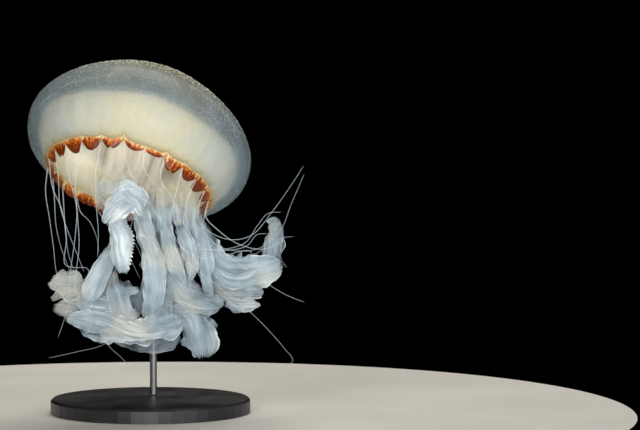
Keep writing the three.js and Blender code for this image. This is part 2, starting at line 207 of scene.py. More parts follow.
class Surface:
    """Closed tubes of rings, gathered into one mesh."""

    def __init__(self):
        self.tubes = []

    def add(self, rings, lie, look=0):
        """rings: rows x columns x 3. lie: pattern coordinates, rows x (columns + 1) x 3.
        look: the material's place in the list, or one for each row of faces."""
        self.tubes.append((rings, np.broadcast_to(lie, (len(rings), rings.shape[1] + 1, 3)), look))

    def build(self, name, materials):
        places = packed([patch_size(rings) for rings, _, _ in self.tubes])
        points, corners, lies, maps, looks = [], [], [], [], []
        start = 0
        for (rings, lie, look), (left, low, wide, high) in zip(self.tubes, places):
            rows, columns = rings.shape[:2]
            row, column = np.mgrid[0 : rows - 1, 0:columns]
            row, column = row.reshape(-1, 1), column.reshape(-1, 1)
            row_of = row + [0, 0, 1, 1]
            column_of = column + [0, 1, 1, 0]
            if enclosed(rings) < 0:
                row_of, column_of = row_of[:, ::-1], column_of[:, ::-1]
            points.append(rings.reshape(-1, 3))
            corners.append(start + row_of * columns + column_of % columns)
            lies.append(lie[row_of, column_of])
            maps.append(
                np.stack(
                    [left + wide * column_of / columns, low + high * row_of / (rows - 1)], -1
                )
            )
            looks.append(np.repeat(np.broadcast_to(look, rows - 1), columns))
            start += rows * columns
        return made_mesh(name, points, corners, lies, maps, looks, materials)


def patch_size(rings):
    closed = np.concatenate([rings, rings[:, :1]], axis=1)
    wide = np.linalg.norm(np.diff(closed, axis=1), axis=2).sum(1).mean()
    high = np.linalg.norm(np.diff(rings, axis=0), axis=2).sum(0).mean()
    return wide, high


def enclosed(rings):
    """Six times the volume inside a tube, negative if its rings wind the wrong way."""
    a, b = rings[:-1], np.roll(rings, -1, 1)[:-1]
    c, d = np.roll(rings, -1, 1)[1:], rings[1:]
    return (np.cross(b, c) * a).sum() + (np.cross(c, d) * a).sum()


def packed(sizes, gap=0.004):
    """Places for patches in the unit square, in shelves, as left, low, wide and high."""
    order = sorted(range(len(sizes)), key=lambda n: -sizes[n][1])
    scale = 1 / math.sqrt(sum(wide * high for wide, high in sizes))
    while True:
        scale *= 0.97
        places, left, low, shelf = {}, 0.0, 0.0, 0.0
        for n in order:
            wide, high = (size * scale + gap for size in sizes[n])
            if left + wide > 1:
                left, low, shelf = 0.0, low + shelf, 0.0
            places[n] = (left + gap / 2, low + gap / 2, wide - gap, high - gap)
            left, shelf = left + wide, max(shelf, high)
            if left > 1:
                break
        if left <= 1 and low + shelf <= 1 and len(places) == len(sizes):
            return [places[n] for n in range(len(sizes))]


def made_mesh(name, points, corners, lies, maps, looks, materials):
    """An object from lists of arrays in mm, with its maps and materials. It rides on the root."""
    corners = np.concatenate(corners)
    mesh = bpy.data.meshes.new(name)
    mesh.vertices.add(sum(len(p) for p in points))
    mesh.vertices.foreach_set("co", (np.concatenate(points) * MM).astype(np.float32).ravel())
    mesh.loops.add(corners.size)
    mesh.loops.foreach_set("vertex_index", corners.astype(np.int32).ravel())
    mesh.polygons.add(len(corners))
    starts = np.arange(len(corners), dtype=np.int32) * corners.shape[1]
    mesh.polygons.foreach_set("loop_start", starts)
    mesh.polygons.foreach_set("material_index", np.concatenate(looks).astype(np.int32))
    mesh.update(calc_edges=True)
    bake = mesh.uv_layers.new(name="OFBake")
    bake.uv.foreach_set("vector", np.concatenate(maps).astype(np.float32).ravel())
    lie = mesh.attributes.new("lie", "FLOAT_VECTOR", "CORNER")
    lie.data.foreach_set("vector", np.concatenate(lies).astype(np.float32).ravel())
    for material in materials:
        mesh.materials.append(material)
    edit = bmesh.new()
    edit.from_mesh(mesh)
    bmesh.ops.remove_doubles(edit, verts=edit.verts, dist=1e-6)
    edit.to_mesh(mesh)
    edit.free()
    mesh.shade_smooth()
    piece = bpy.data.objects.new(name, mesh)
    bpy.context.collection.objects.link(piece)
    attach(piece, "root")
    return piece


def slab(sheet, thickness):
    """A thin closed tube from a sheet of points, rows x columns x 3."""
    down, across = np.gradient(sheet, axis=(0, 1))
    normal = unit(np.cross(down, across) + 1e-9)
    half = normal * (np.broadcast_to(thickness, sheet.shape[:2]) / 2)[..., None]
    rings = np.concatenate([sheet + half, (sheet - half)[:, ::-1]], axis=1)
    ends = [np.concatenate([sheet[row], sheet[row, ::-1]])[None] for row in (0, -1)]
    return np.concatenate([ends[0], rings, ends[1]])


def slab_lie(lie):
    """Pattern coordinates for a slab, from those of its sheet."""
    both = np.concatenate([lie, lie[:, ::-1], lie[:, :1]], axis=1)
    return np.concatenate([both[:1], both, both[-1:]])


def lie_of(*columns):
    return np.stack(np.broadcast_arrays(*columns), -1)


# ---- Bell --------------------------------------------------------------------------------


def dome(radius, height, flattening, count):
    angle = np.linspace(0, 90, count + 1)
    size = 1 - flattening * sin(2 * angle) ** 2
    return np.stack([radius * size * sin(angle), height * size * cos(angle)], -1)


def skirt(radius, margin_radius, depth, count):
    """Below the widest level the bell is an arc that turns in to the margin."""
    inward = radius - margin_radius
    bend = (inward**2 + depth**2) / (2 * inward)
    angle = math.degrees(math.asin(depth / bend)) * np.arange(1, count + 1) / count
    return np.stack([radius - bend + bend * cos(angle), -bend * sin(angle)], -1)


def profile_under(amount, edge_amount, count, swell=0):
    """A surface below the clear jelly by an amount in the middle and another at the margin."""
    edge = JELLY_EDGE_THICKNESS + edge_amount
    radius = LINING_RADIUS - edge_amount + swell
    margin_radius = MARGIN_RADIUS - edge * cos(MARGIN_SLOPE)
    depth = MARGIN_DEPTH - edge * sin(MARGIN_SLOPE)
    top = dome(radius, LINING_CROWN - amount, LINING_SHOULDER_FLATTENING, count)
    return np.vstack([top, skirt(radius, margin_radius, depth, count // 2)])


def droop(azimuth):
    """How far below level a lappet points."""
    return mix(DROOP, NEAR_DROOP, np.exp(-((azimuth / DROOP_SPREAD) ** 2)))


# Where the columns of points stand across each lobe: close together at its cleft and notch.
LOBE_STATIONS = np.array(
    [0, 0.035, 0.09, 0.17, 0.27, 0.37, 0.45, 0.5, 0.55, 0.63, 0.73, 0.83, 0.91, 0.965]
)
LOBE_STARTS = -180 + LOBE_WIDTH * (np.arange(LOBES) + 0.5)
AZIMUTHS = (LOBE_STARTS[:, None] + LOBE_WIDTH * LOBE_STATIONS).ravel()
AROUND = np.append(AZIMUTHS, AZIMUTHS[0] + 360)


# Each lobe's length and pigment as shares of the usual, how many degrees more it droops, and
# how many mm the rim rises at the cleft where it starts. They run from the far side round by
# the left, the near side and the right.
LOBE_WAYS = [
    (0.9, 0.8, 4, 0.6), (1.0, 0.9, -6, 0.8), (0.8, 0.7, 5, 0.5), (0.95, 1.0, 0, 1.0),
    (1.05, 0.9, -8, 0.5), (0.85, 0.6, 6, 0.9), (1.0, 0.9, -4, 0.6), (1.05, 1.0, 8, 1.2),
    (1.1, 1.05, -6, 0.8), (0.85, 0.95, 14, 1.8), (0.6, 0.9, 30, 2.6), (0.42, 0.85, 10, 4.6),
    (0.36, 0.8, 0, 0.6), (0.95, 0.8, 26, 2.4), (0.8, 0.95, 4, 1.6), (1.1, 1.15, -8, 1.2),
    (1.05, 0.9, 4, 0.7), (0.9, 0.8, -4, 0.8), (1.0, 1.0, 6, 0.5), (0.85, 0.7, 0, 1.0),
    (0.95, 0.9, -7, 0.7), (1.05, 1.0, 5, 0.9), (0.9, 0.8, -3, 0.5), (1.0, 0.9, 4, 0.8),
]
LENGTHS, PIGMENTS, DROOPS, RISES = (np.array(column)[:, None] for column in zip(*LOBE_WAYS))


def lobe_reach():
    """How far each column of a lobe reaches past the rim, in mm."""
    lobe = np.arange(LOBES)[:, None]
    tongue = (1 - np.abs(2 * LOBE_STATIONS - 1) ** 2.4) ** 0.75
    notch = 1 - 0.42 * np.exp(-(((LOBE_STATIONS - 0.5) / 0.05) ** 2))
    shape = np.where(lobe % 3 == FIRST_NOTCHED, tongue * notch, tongue)
    ragged = 1 + 0.06 * drift(LOBE_STATIONS * 9, lobe * 5, seed=8)
    return (CLEFT_DEPTH + LAPPET_LENGTH * 0.95 * LENGTHS * shape * ragged).ravel()


def cleft_rise():
    """How far the rim stands above its level, as a sharp rise at each cleft."""
    before = RISES * np.exp(-LOBE_STATIONS / 0.22)
    after = np.roll(RISES, -1, axis=0) * np.exp(-(1 - LOBE_STATIONS) / 0.22)
    return (before + after).ravel()


def pillar(down):
    """The mouth column's four pillars: its radius over the mean, at each azimuth."""
    return 1 + mix(0.1, 0.22, down) * cos(4 * (AZIMUTHS - FIRST_PILLAR))


# The azimuths where the milky tissue sags, and by how much.
SAGS = [(-50, 2.6), (62, 2.2)]


def sag(azimuth, radius, height):
    """How far the milky tissue hangs below its round shape on both sides of its near part."""
    amount = sum(deep * smooth(cos(azimuth - middle), 0.5, 1) for middle, deep in SAGS)
    return amount * smooth(radius, 20, 60) * smooth(height, -22, 0)


def level(line):
    """A profile's points, each the same at every azimuth."""
    return [(r + 0 * AZIMUTHS, z + 0 * AZIMUTHS) for r, z in line]


def bent(start, middle, end, share):
    """On a curve from start to end that bends towards the middle."""
    a, b, c = (1 - share) ** 2, 2 * share * (1 - share), share**2
    return [a * s + b * m + c * e for s, m, e in zip(start, middle, end)]


def lappet_faces(steps, inner_edge):
    """The lappets' rows, out from the rim to their tips and back in to the hollow's edge."""
    reach = lobe_reach()
    across = np.sin(np.pi * LOBE_STATIONS)
    angle = droop(AZIMUTHS) + (DROOPS * across).ravel() + 4 * drift(AZIMUTHS / 11, seed=3)
    bend = -MARGIN_DEPTH - RIM_HEIGHT
    tip_r = MARGIN_RADIUS - reach * cos(angle)
    tip_z = bend - reach * sin(angle) + INNER_INSET
    rim = (MARGIN_RADIUS - BELL_INSET, -MARGIN_DEPTH)
    tip, back = (tip_r, tip_z), (tip_r, tip_z + LAPPET_THICKNESS)
    outer_bend, inner_bend = (MARGIN_RADIUS - 1, bend), (MARGIN_RADIUS - 2.4, bend + 1.1)
    outer_face = [bent(rim, outer_bend, tip, t) for t in steps]
    inner_face = [bent(back, inner_bend, inner_edge, t) for t in np.append(0, steps)]
    return outer_face, inner_face


def hollow(under):
    """The rows up the hollow's wall, and those in to the root of the mouth column."""
    wall = UNDER_ROWS // 2
    up = level(under[::-1][1 : wall + 1])
    wall_r = under[UNDER_ROWS][0]
    root = MOUTH_ROOT_RADIUS * pillar(0) + 3
    fold = 0.35 * cos(AZIMUTHS * 16)
    ceiling = []
    for t in np.linspace(0, 1, 15)[1:]:
        r = mix(wall_r, root, t)
        z = np.interp(r, under[: UNDER_ROWS + 1, 0], under[: UNDER_ROWS + 1, 1])
        ceiling.append((r, z + fold * math.sin(math.pi * t) ** 0.5))
    return up, ceiling


def mouth_column(top):
    """The rows down the mouth column from its top, and those in and up at the mouth."""
    column = []
    for t in np.linspace(0, 1, 19)[1:]:
        r = mix(MOUTH_ROOT_RADIUS, MOUTH_RADIUS, math.sqrt(t)) * pillar(t)
        r = r + 3 * math.exp(-t * 14) - 0.5 + 0.5 * drift(AZIMUTHS / 7, t * 5, seed=5)
        column.append((r, mix(top, -MOUTH_DEPTH + INNER_INSET, t)))
    lip_r, lip_z = column[-1]
    mouth = [(lip_r * k, lip_z + d) for k, d in ((0.93, 0), (0.8, 2), (0.55, 6), (0.3, 8), (0, 9))]
    return column, mouth


def bell(skin):
    """One closed surface: the dome, the lappets, the hollow, the mouth column and the mouth."""
    radius, margin = BELL_RADIUS - BELL_INSET, MARGIN_RADIUS - BELL_INSET
    top = dome(radius, CROWN_HEIGHT - BELL_INSET, SHOULDER_FLATTENING, 44)
    outside = level(np.vstack([top, skirt(radius, margin, MARGIN_DEPTH, 16)]))
    amount, edge_amount = LINING_THICKNESS - INNER_INSET, LINING_EDGE_THICKNESS - INNER_INSET
    under = profile_under(amount, edge_amount, UNDER_ROWS)
    steps = np.linspace(0, 1, 9)[1:]  # down each face of a lappet
    outer_face, inner_face = lappet_faces(steps, under[-1])
    up, ceiling = hollow(under)
    column, mouth = mouth_column(ceiling[-1][1])

    rows = outside + outer_face + inner_face + up + ceiling + column + mouth
    radius = np.array([r for r, _ in rows])
    height = np.array([np.broadcast_to(z, AZIMUTHS.shape) for _, z in rows])
    first, last = len(outside), len(outside) + len(outer_face)
    # About how many mm each row is from the rim, up the outside and up the inside.
    from_rim = np.maximum(first - 1 - np.arange(len(rows)), 0) * 2.0
    from_rim[last + len(inner_face) :] = 1.6 * np.arange(1, len(rows) - last - len(inner_face) + 1)
    height = height + np.exp(-((from_rim / 7) ** 2))[:, None] * cleft_rise()
    height[last:] -= sag(AZIMUTHS, radius[last:], height[last:])
    rings = in_place(around(AZIMUTHS, radius, height))

    travelled = np.concatenate(
        [[0], np.cumsum(np.linalg.norm(np.diff(rings, axis=0), axis=2).mean(1))]
    )
    past_rim = (travelled - travelled[len(outside) - 1]) / LAPPET_LENGTH
    share = np.minimum(past_rim, 0)
    share[first:last] = steps
    share[last : last + len(inner_face)] = 1 - np.append(0, steps)
    share[last + len(inner_face) :] = 0
    # The third pattern coordinate is 0 on the bell and goes up to 1 at a lappet's tip, more or
    # less by its lobe's pigment. Down the mouth column it goes from 0 to 1 again.
    pale = np.append((0.9 * (PIGMENTS - 1) + 0 * LOBE_STATIONS).ravel(), 0.9 * (PIGMENTS[0] - 1))
    pigment = share[:, None] + pale * np.clip(share, 0, 1)[:, None] ** 0.3
    down_mouth = np.minimum(np.arange(len(column) + len(mouth)) / len(column), 1)
    pigment[-len(column) - len(mouth) :] = down_mouth[:, None]
    lie = lie_of(AROUND, travelled[:, None], pigment)
    looks = np.full(len(rows) - 1, MILKY)
    looks[: first - 1] = JELLY
    looks[first - 1 : last + len(inner_face) - 1] = LAPPET
    looks[-len(column) - len(mouth) :] = MOUTH
    skin.add(rings, lie, looks)


# How far each veil of the milky tissue lies below the top of the lining's solid, and how far
# it stands out past its sides. The first is the lining itself, and the rest blur it above.
VEILS = [(7.2, 0.2), (6.5, 0.6), (5.7, 1.1), (4.7, 1.7), (3.4, 2.5), (1.8, 3.6)]


def lining(skin):
    """The milky tissue under the clear jelly, and fainter veils that blur it above."""
    azimuth = np.linspace(-180, 180, 91)
    turn = azimuth[:-1]
    for n, (below, swell) in enumerate(VEILS):
        top = profile_under(below, 0.8, 20, swell)
        low = profile_under(below + 0.6, 1.2, 20, swell)[::-1]
        rows = np.vstack([top, low])
        ripple = 0.25 * n * drift(turn / 16, rows[:, :1] / 12, seed=n + 50)
        ripple = ripple + 0.12 * n * drift(turn / 5, rows[:, :1] / 9, seed=n + 70)
        ripple = ripple - sag(turn, rows[:, :1], rows[:, 1:])
        rings = in_place(around(turn, rows[:, :1], rows[:, 1:] + ripple))
        travelled = np.concatenate(
            [[0], np.cumsum(np.linalg.norm(np.diff(rings, axis=0), axis=2).mean(1))]
        )
        half = travelled[len(top)]
        travelled = np.minimum(travelled, 2 * half - travelled)
        lie = lie_of(azimuth, travelled[:, None], travelled[:, None] / half)
        skin.add(rings, lie, (LINING, VEIL, VEIL, VEIL, HAZE, HAZE)[n])


# The azimuths of the faint strands in the clear jelly, and each one's drift in degrees.
WISPS = [(-96, 14), (-74, -10), (-52, 12), (-31, 9), (-14, -8), (9, 10), (33, -12), (52, 8),
         (71, -9), (88, 12), (128, -8), (165, 9), (205, -10), (238, 8)]


def wisps(skin):
    """Faint strands that hang in the clear jelly, from near the crown to the sides."""
    for n, (azimuth, slant) in enumerate(WISPS):
        depth = 5 + 1.5 * math.sin(n * 2.3)
        line = dome(BELL_RADIUS - depth, CROWN_HEIGHT - depth, SHOULDER_FLATTENING, 40)[8:38]
        share = np.linspace(0, 1, len(line))[:, None]
        across = np.linspace(-1, 1, 5)
        half = 0.9 * np.sin(np.pi * mix(0.03, 0.97, share)) * (1 + 0.5 * drift(share * 6, seed=n))
        turn = azimuth + slant * share**2 + 3 * drift(share * 3, seed=n + 9)
        turn = turn + np.degrees(half * across / np.maximum(line[:, :1], 10))
        lift = 0.8 * drift(share * 5, across, seed=n + 20)
        sheet = in_place(around(turn, line[:, :1] + lift, line[:, 1:] + lift))
        lie = lie_of(azimuth + 4 * across, share * 70, 0.45 + 0.35 * np.sin(np.pi * share))
        skin.add(slab(sheet, 0.2), slab_lie(np.broadcast_to(lie, (*sheet.shape[:2], 3))), HAZE)


# ---- Tentacles ---------------------------------------------------------------------------

# Azimuth of the cleft that each grows from, and the waypoints of its route.
TENTACLES = [
    (-97.5, [(-71, -21, 156), (-68, -26, 138), (-65, -30, 119), (-62, -34, 99), (-56, -36, 89)]),
    (-67.5, [(-60, -44, 168), (-59, -44, 148), (-55, -42, 133), (-49, -40, 117), (-43, -38, 101)]),
    (-82.5, [(-65, -35, 160), (-58, -40, 144), (-55, -41, 125), (-56, -42, 107), (-50, -44, 105),
             (-40, -45, 104), (-42, -42, 89), (-41, -40, 75)]),
    (-112.5, [(-67, 2, 149), (-66, 1, 132), (-62, -1, 115), (-55, -3, 97)]),
    (-127.5, [(-61, 9, 142), (-60, 8, 126), (-57, 6, 108), (-49, 2, 89)]),
    (-52.5, [(-52, -54, 169), (-47, -52, 147), (-48, -50, 128), (-52, -50, 99), (-54, -48, 77),
             (-61, -44, 56)]),
    (-37.5, [(-47, -60, 166), (-46, -57, 142), (-45, -56, 121), (-48, -54, 94), (-46, -50, 78),
             (-41, -47, 75)]),
    (-22.5, [(-33, -64, 169), (-33, -58, 148), (-32, -54, 129), (-33, -50, 112)]),
    (-142.5, [(-50, 16, 140), (-43, 12, 133), (-38, 8, 122), (-36, 4, 111)]),
    (-7.5, [(-11, -68, 176), (-5, -64, 162), (5, -56, 146), (16, -46, 129), (27, -40, 110),
            (51, -32, 89), (74, -20, 69), (94, -10, 46), (100, -8, 37), (92, -7, 32)]),
    (7.5, [(0, -68, 174), (10, -58, 159), (22, -48, 146), (28, -40, 129), (32, -36, 108)]),
    (22.5, [(11, -66, 167), (19, -60, 152), (20, -54, 137), (28, -48, 121), (47, -42, 117),
            (67, -34, 121), (76, -28, 133), (83, -26, 141), (93, -25, 142)]),
    (37.5, [(20, -56, 152), (17, -52, 137), (23, -51, 121), (37, -50, 112), (56, -46, 114),
            (71, -42, 116), (73, -40, 107)]),
    (52.5, [(28, -50, 149), (28, -46, 133), (39, -38, 118), (57, -31, 116), (69, -26, 119),
            (75, -23, 126), (83, -22, 127)]),
    (67.5, [(36, -40, 147), (36, -36, 136), (44, -33, 128), (58, -28, 123), (72, -22, 126),
            (86, -16, 142), (99, -10, 160), (108, -8, 174)]),
    (82.5, [(40, -26, 139), (48, -26, 130), (62, -24, 120), (78, -22, 116), (89, -20, 119),
            (94, -19, 124), (92, -19, 128)]),
    (97.5, [(38, -20, 130), (48, -22, 118), (59, -24, 109), (81, -20, 93), (95, -16, 84),
            (109, -12, 78)]),
    (112.5, [(39, 2, 123), (54, 6, 114), (75, 14, 114), (90, 18, 125), (99, 20, 146),
             (108, 20, 167)]),
    (127.5, [(25, 15, 117), (35, 20, 107), (54, 24, 104), (78, 26, 112), (93, 26, 121),
             (101, 26, 122)]),
    (142.5, [(16, 20, 118), (20, 22, 103), (33, 22, 88), (57, 18, 73)]),
    (157.5, [(3, 26, 111), (-2, 27, 85), (-13, 18, 62), (-33, 8, 47), (-53, 2, 42), (-72, 0, 38)]),
    (172.5, [(-21, 22, 111), (-31, 14, 85), (-36, 6, 63), (-31, 0, 49), (-20, -6, 39),
             (-11, -10, 31), (0, -12, 29)]),
    (-172.5, [(-20, 21, 126), (-11, 15, 117), (-4, 8, 101)]),
    (-157.5, [(-28, 19, 126), (-18, 12, 113), (-7, 4, 93)]),
]


def tentacles(skin):
    sides = 8
    gap = 0.5
    root_height = -MARGIN_DEPTH - RIM_HEIGHT - CLEFT_DEPTH - gap
    turn = np.linspace(0, 360, sides + 1)
    for cleft, way in TENTACLES:
        # The first point is up in the cleft, so that the tentacle grows out of the rim.
        root = in_place(around(cleft, MARGIN_RADIUS - 2.3, root_height + 1.6))
        path = Route([root, *way])
        share = path.evenly(0, 1, 1.8)
        along = path.along(share)
        side = unit(np.cross([0, 1, 0], along))
        across = np.cross(along, side)
        travelled = path.travel(share)
        radius = TENTACLE_FILL * mix(ROOT_RADIUS, TIP_RADIUS, share**0.6)
        radius = radius + 0.2 * np.exp(-travelled / 10)
        radius[-3:] *= [0.92, 0.7, 0]
        radius[0] = 0
        beads = 1 + 0.08 * drift(travelled / 2.1, seed=9)
        ring = (radius * beads)[:, None, None] * (
            side[:, None] * cos(turn[:-1])[:, None] + across[:, None] * sin(turn[:-1])[:, None]
        )
        rings = path.at(share)[:, None] + ring
        skin.add(rings, lie_of(turn, travelled[:, None], share[:, None]), TENTACLE)


# ---- Oral arms ---------------------------------------------------------------------------

# Stations down each arm: x, y, z, half width, how far the ribbon is turned from facing the
# near side, and half thickness.
ARMS = {
    "arm_left": dict(ruffle=2.2, waves=5, stations=[
        (-23, -28, 159, 5, -20, 3), (-20, -28, 142, 6, 0, 3), (-22, -30, 126, 7, 10, 3),
        (-27, -29, 110, 8, 0, 4), (-34, -27, 99, 8, 0, 5), (-42, -25, 90, 8, 5, 7),
        (-49, -22, 88, 9.5, 10, 9), (-58, -19, 90, 11, 10, 9), (-67, -16, 91, 6, 0, 5)]),
    "arm_left_flap": dict(ruffle=1.5, waves=3, stations=[
        (-16, -37, 160, 7, 0, 2.5), (-15, -42, 148, 12, -10, 2.5), (-18, -44, 136, 8, 0, 2.5),
        (-16, -44, 123, 7, 0, 2.5), (-15, -42, 111, 5.5, 0, 2), (-14, -40, 100, 2, 0, 1.2)]),
    "arm_middle": dict(ruffle=2.6, waves=7, stations=[
        (-6, -32, 159, 6, 0, 3), (-2, -30, 145, 8, 0, 3.5), (-1, -26, 130, 9, 0, 4),
        (1, -24, 113, 9, 0, 5), (5, -22, 93, 10, 0, 6), (12, -21, 78, 11, 0, 7),
        (10, -22, 65, 11, 0, 8), (-3, -24, 58, 13, -10, 10), (-22, -25, 63, 16, -25, 10),
        (-40, -24, 66, 12, -10, 9), (-54, -22, 70, 6, 0, 5)]),
    "arm_rear": dict(ruffle=2, waves=6, stations=[
        (-19, -12, 150, 6, 0, 3), (-9, -6, 139, 7, 0, 3), (7, 1, 125, 8, 0, 4),
        (14, 4, 105, 8, 0, 4), (21, 5, 88, 11, 0, 4.5), (27, 2, 72, 12, 10, 6),
        (33, -3, 58, 12, 0, 9), (34, -5, 46, 11, 0, 8), (35, -5, 40, 8, 0, 5)]),
    "arm_right": dict(ruffle=2.4, waves=7, stations=[
        (-6, -18, 152, 6, 0, 3), (8, -16, 146, 6, 0, 3), (21, -14, 134, 7.5, 0, 3.5),
        (27, -12, 120, 9, 0, 4), (39, -9, 104, 13, 10, 5), (56, -4, 96, 16, 10, 6),
        (71, -1, 96, 14, 0, 7), (82, 0, 103, 10, 0, 6), (87, -1, 116, 6, 0, 4),
        (88, -3, 135, 4, 0, 3)]),
}
HALF_WIDTH, TURN, HALF_THICK = 3, 4, 5  # their places in a station


def frame_along(path, share):
    """Centre, width direction and face direction at each share. The face looks away."""
    along = path.along(share)
    level = unit(np.cross([0, 1, 0], along))
    turn = path.value(share, TURN)[..., None]
    width = level * cos(turn) + np.cross(along, level) * sin(turn)
    return path.at(share), width, np.cross(along, width)


def core(skin, path, ruffle, waves):
    """The flesh in the middle of an arm."""
    share = path.evenly(0, 1, 1.6)[:, None]
    turn = np.linspace(0, 360, 25)
    x, side = CORE_WIDTH * cos(turn[:-1]), CORE_THICKNESS * sin(turn[:-1])
    centre, width, face = frame_along(path, share)
    wave = np.sin(2 * np.pi * (waves * share + EDGE_LAG * (x < 0)))
    thick = path.value(share, HALF_THICK) * (1 - EDGE_THINNING * x * x)
    out = ruffle * x * x * wave + side * thick
    across = path.value(share, HALF_WIDTH) * x
    rings = centre + width * across[..., None] + face * out[..., None]
    for row in (0, -1):
        rings[row] = rings[row].mean(0)
    coming = np.minimum(path.travel(share) / 22 - 1, 0)
    skin.add(rings, lie_of(turn, path.travel(share), np.where(coming < 0, coming, 0.5)), ARM)


def curtain(path, start, end, angle, curl, seed, reach=0.75, spacing=1.2, columns=12):
    """A membrane that grows out from the middle of an arm and ruffles towards its edge."""
    share = path.evenly(start, end, spacing)[:, None]
    travelled = path.travel(share)
    centre, width, face = frame_along(path, share)
    heading = angle + 25 * drift(travelled / 24, seed=seed + 1)
    size = 1 / np.hypot(
        cos(heading) / path.value(share, HALF_WIDTH), sin(heading) / path.value(share, HALF_THICK)
    )
    size = np.maximum(size, 2.5)
    opening = mix(0.2, 1, smooth(travelled - travelled[0], 0, 16))
    closing = np.clip((travelled[-1] - travelled) / size, 0.02, 1) ** 0.6
    out = np.linspace(0, 1, columns)
    length = reach * size * opening * closing * (1 + 0.3 * drift(travelled / 11, seed=seed))
    bend = heading + curl * out**1.4
    run_w = np.cumsum(length * cos(bend), axis=1) / columns
    run_f = np.cumsum(length * sin(bend), axis=1) / columns
    wave = 2 * np.pi * travelled / 17 + 3 * drift(travelled / 25, seed=seed + 2) + seed
    lift = length * (0.22 * out**1.4 * np.sin(wave) + 0.07 * out**3 * np.sin(2.3 * wave + out))
    w = run_w - lift * sin(bend)
    f = run_f + lift * cos(bend)
    sheet = centre + width * w[..., None] + face * f[..., None]
    appear = np.minimum((travelled - travelled[0]) / 8 - 1, 0)
    lie = lie_of(travelled + 40 * seed, length * out, np.where(appear < 0, appear, out))
    return slab(sheet, mix(0.5, 0.16, out)), slab_lie(lie)


def fold(rows, pleats=3, depth=0.5, ruffle=1.6, wave=14, bow=0.12, fringe=0.0, teeth=0.0,
         tooth=2.4, lobing=0.16, appear=7.0, vanish=0.0, blunt=0.6, taper=1.0, seed=0, away=0.0, wide=1.0,
         spacing=1.0, columns=31):
    """A membrane along a route: pleated lengthwise, with ruffled, lobed and toothed edges,
    thin where it starts and with a ragged end."""
    path = Route([(*row, 0)[:5] for row in rows])
    v = np.sin(np.linspace(-np.pi / 2, np.pi / 2, columns))
    edge, side = np.abs(v), np.sign(v)
    ragged = 0.5 + 0.3 * drift(v * 7, seed=seed + 1) + 0.3 * drift(v * 19, seed=seed + 10)
    short = fringe * np.maximum(ragged, 0) / path.length
    share = path.evenly(0, 1, spacing)[:, None] * (1 - short)
    travelled = path.travel(share)
    centre, width, face = frame_along(path, share)
    half = wide * path.value(share, HALF_WIDTH)
    to_end = np.clip((path.travel(1 - short) - travelled) / (taper * half + 2), 0, 1)
    half = half * (1 - 0.96 * (1 - to_end) ** 1.7) ** blunt
    lobes = drift(travelled / 8, 3 * side, seed=seed + 2)
    lobes = lobes + 0.45 * drift(travelled / 3.2, 5 * side, seed=seed + 8)
    saw = (travelled / tooth + drift(travelled / 6, seed=seed + 3)) % 1 - 0.5
    across = v * half * (1 + lobing * edge**2 * lobes) - (v < 0) * teeth * edge**9 * saw
    loose = smooth(travelled, 0, 9)
    phase = 2 * np.pi * travelled / wave + 3 * drift(travelled / 24, 5 * side, seed=seed + 4)
    phase = phase + 2 * side
    second = 2.3 * phase + 2 * drift(travelled / 12, 5 * side, seed=seed + 5)
    out = loose * ruffle * (edge**2.2 * np.sin(phase) + 0.25 * edge**4 * np.sin(second))
    out = out + depth * np.sin(np.pi * pleats * v + 2 * drift(travelled / 30, v, seed=seed + 6))
    out = out + 0.9 * drift(travelled / 16, 1.5 * v, seed=seed + 7)
    out = out + away - bow * half * (1 - v * v)
    sheet = centre + width * across[..., None] + face * out[..., None]
    hem = np.maximum(edge, 1 - to_end)
    coming = travelled / max(appear, 0.01) - 1
    going = (path.length - travelled) / max(vanish, 0.01) - 1
    faint = np.minimum(np.minimum(coming, going), 0)
    strayed = across + 2.5 * drift(travelled / 12, across / 8, seed=seed + 9)
    lie = lie_of(travelled + 40 * seed, strayed, np.where(faint < 0, faint, hem))
    return slab(sheet, mix(0.5, 0.18, edge)), slab_lie(lie)


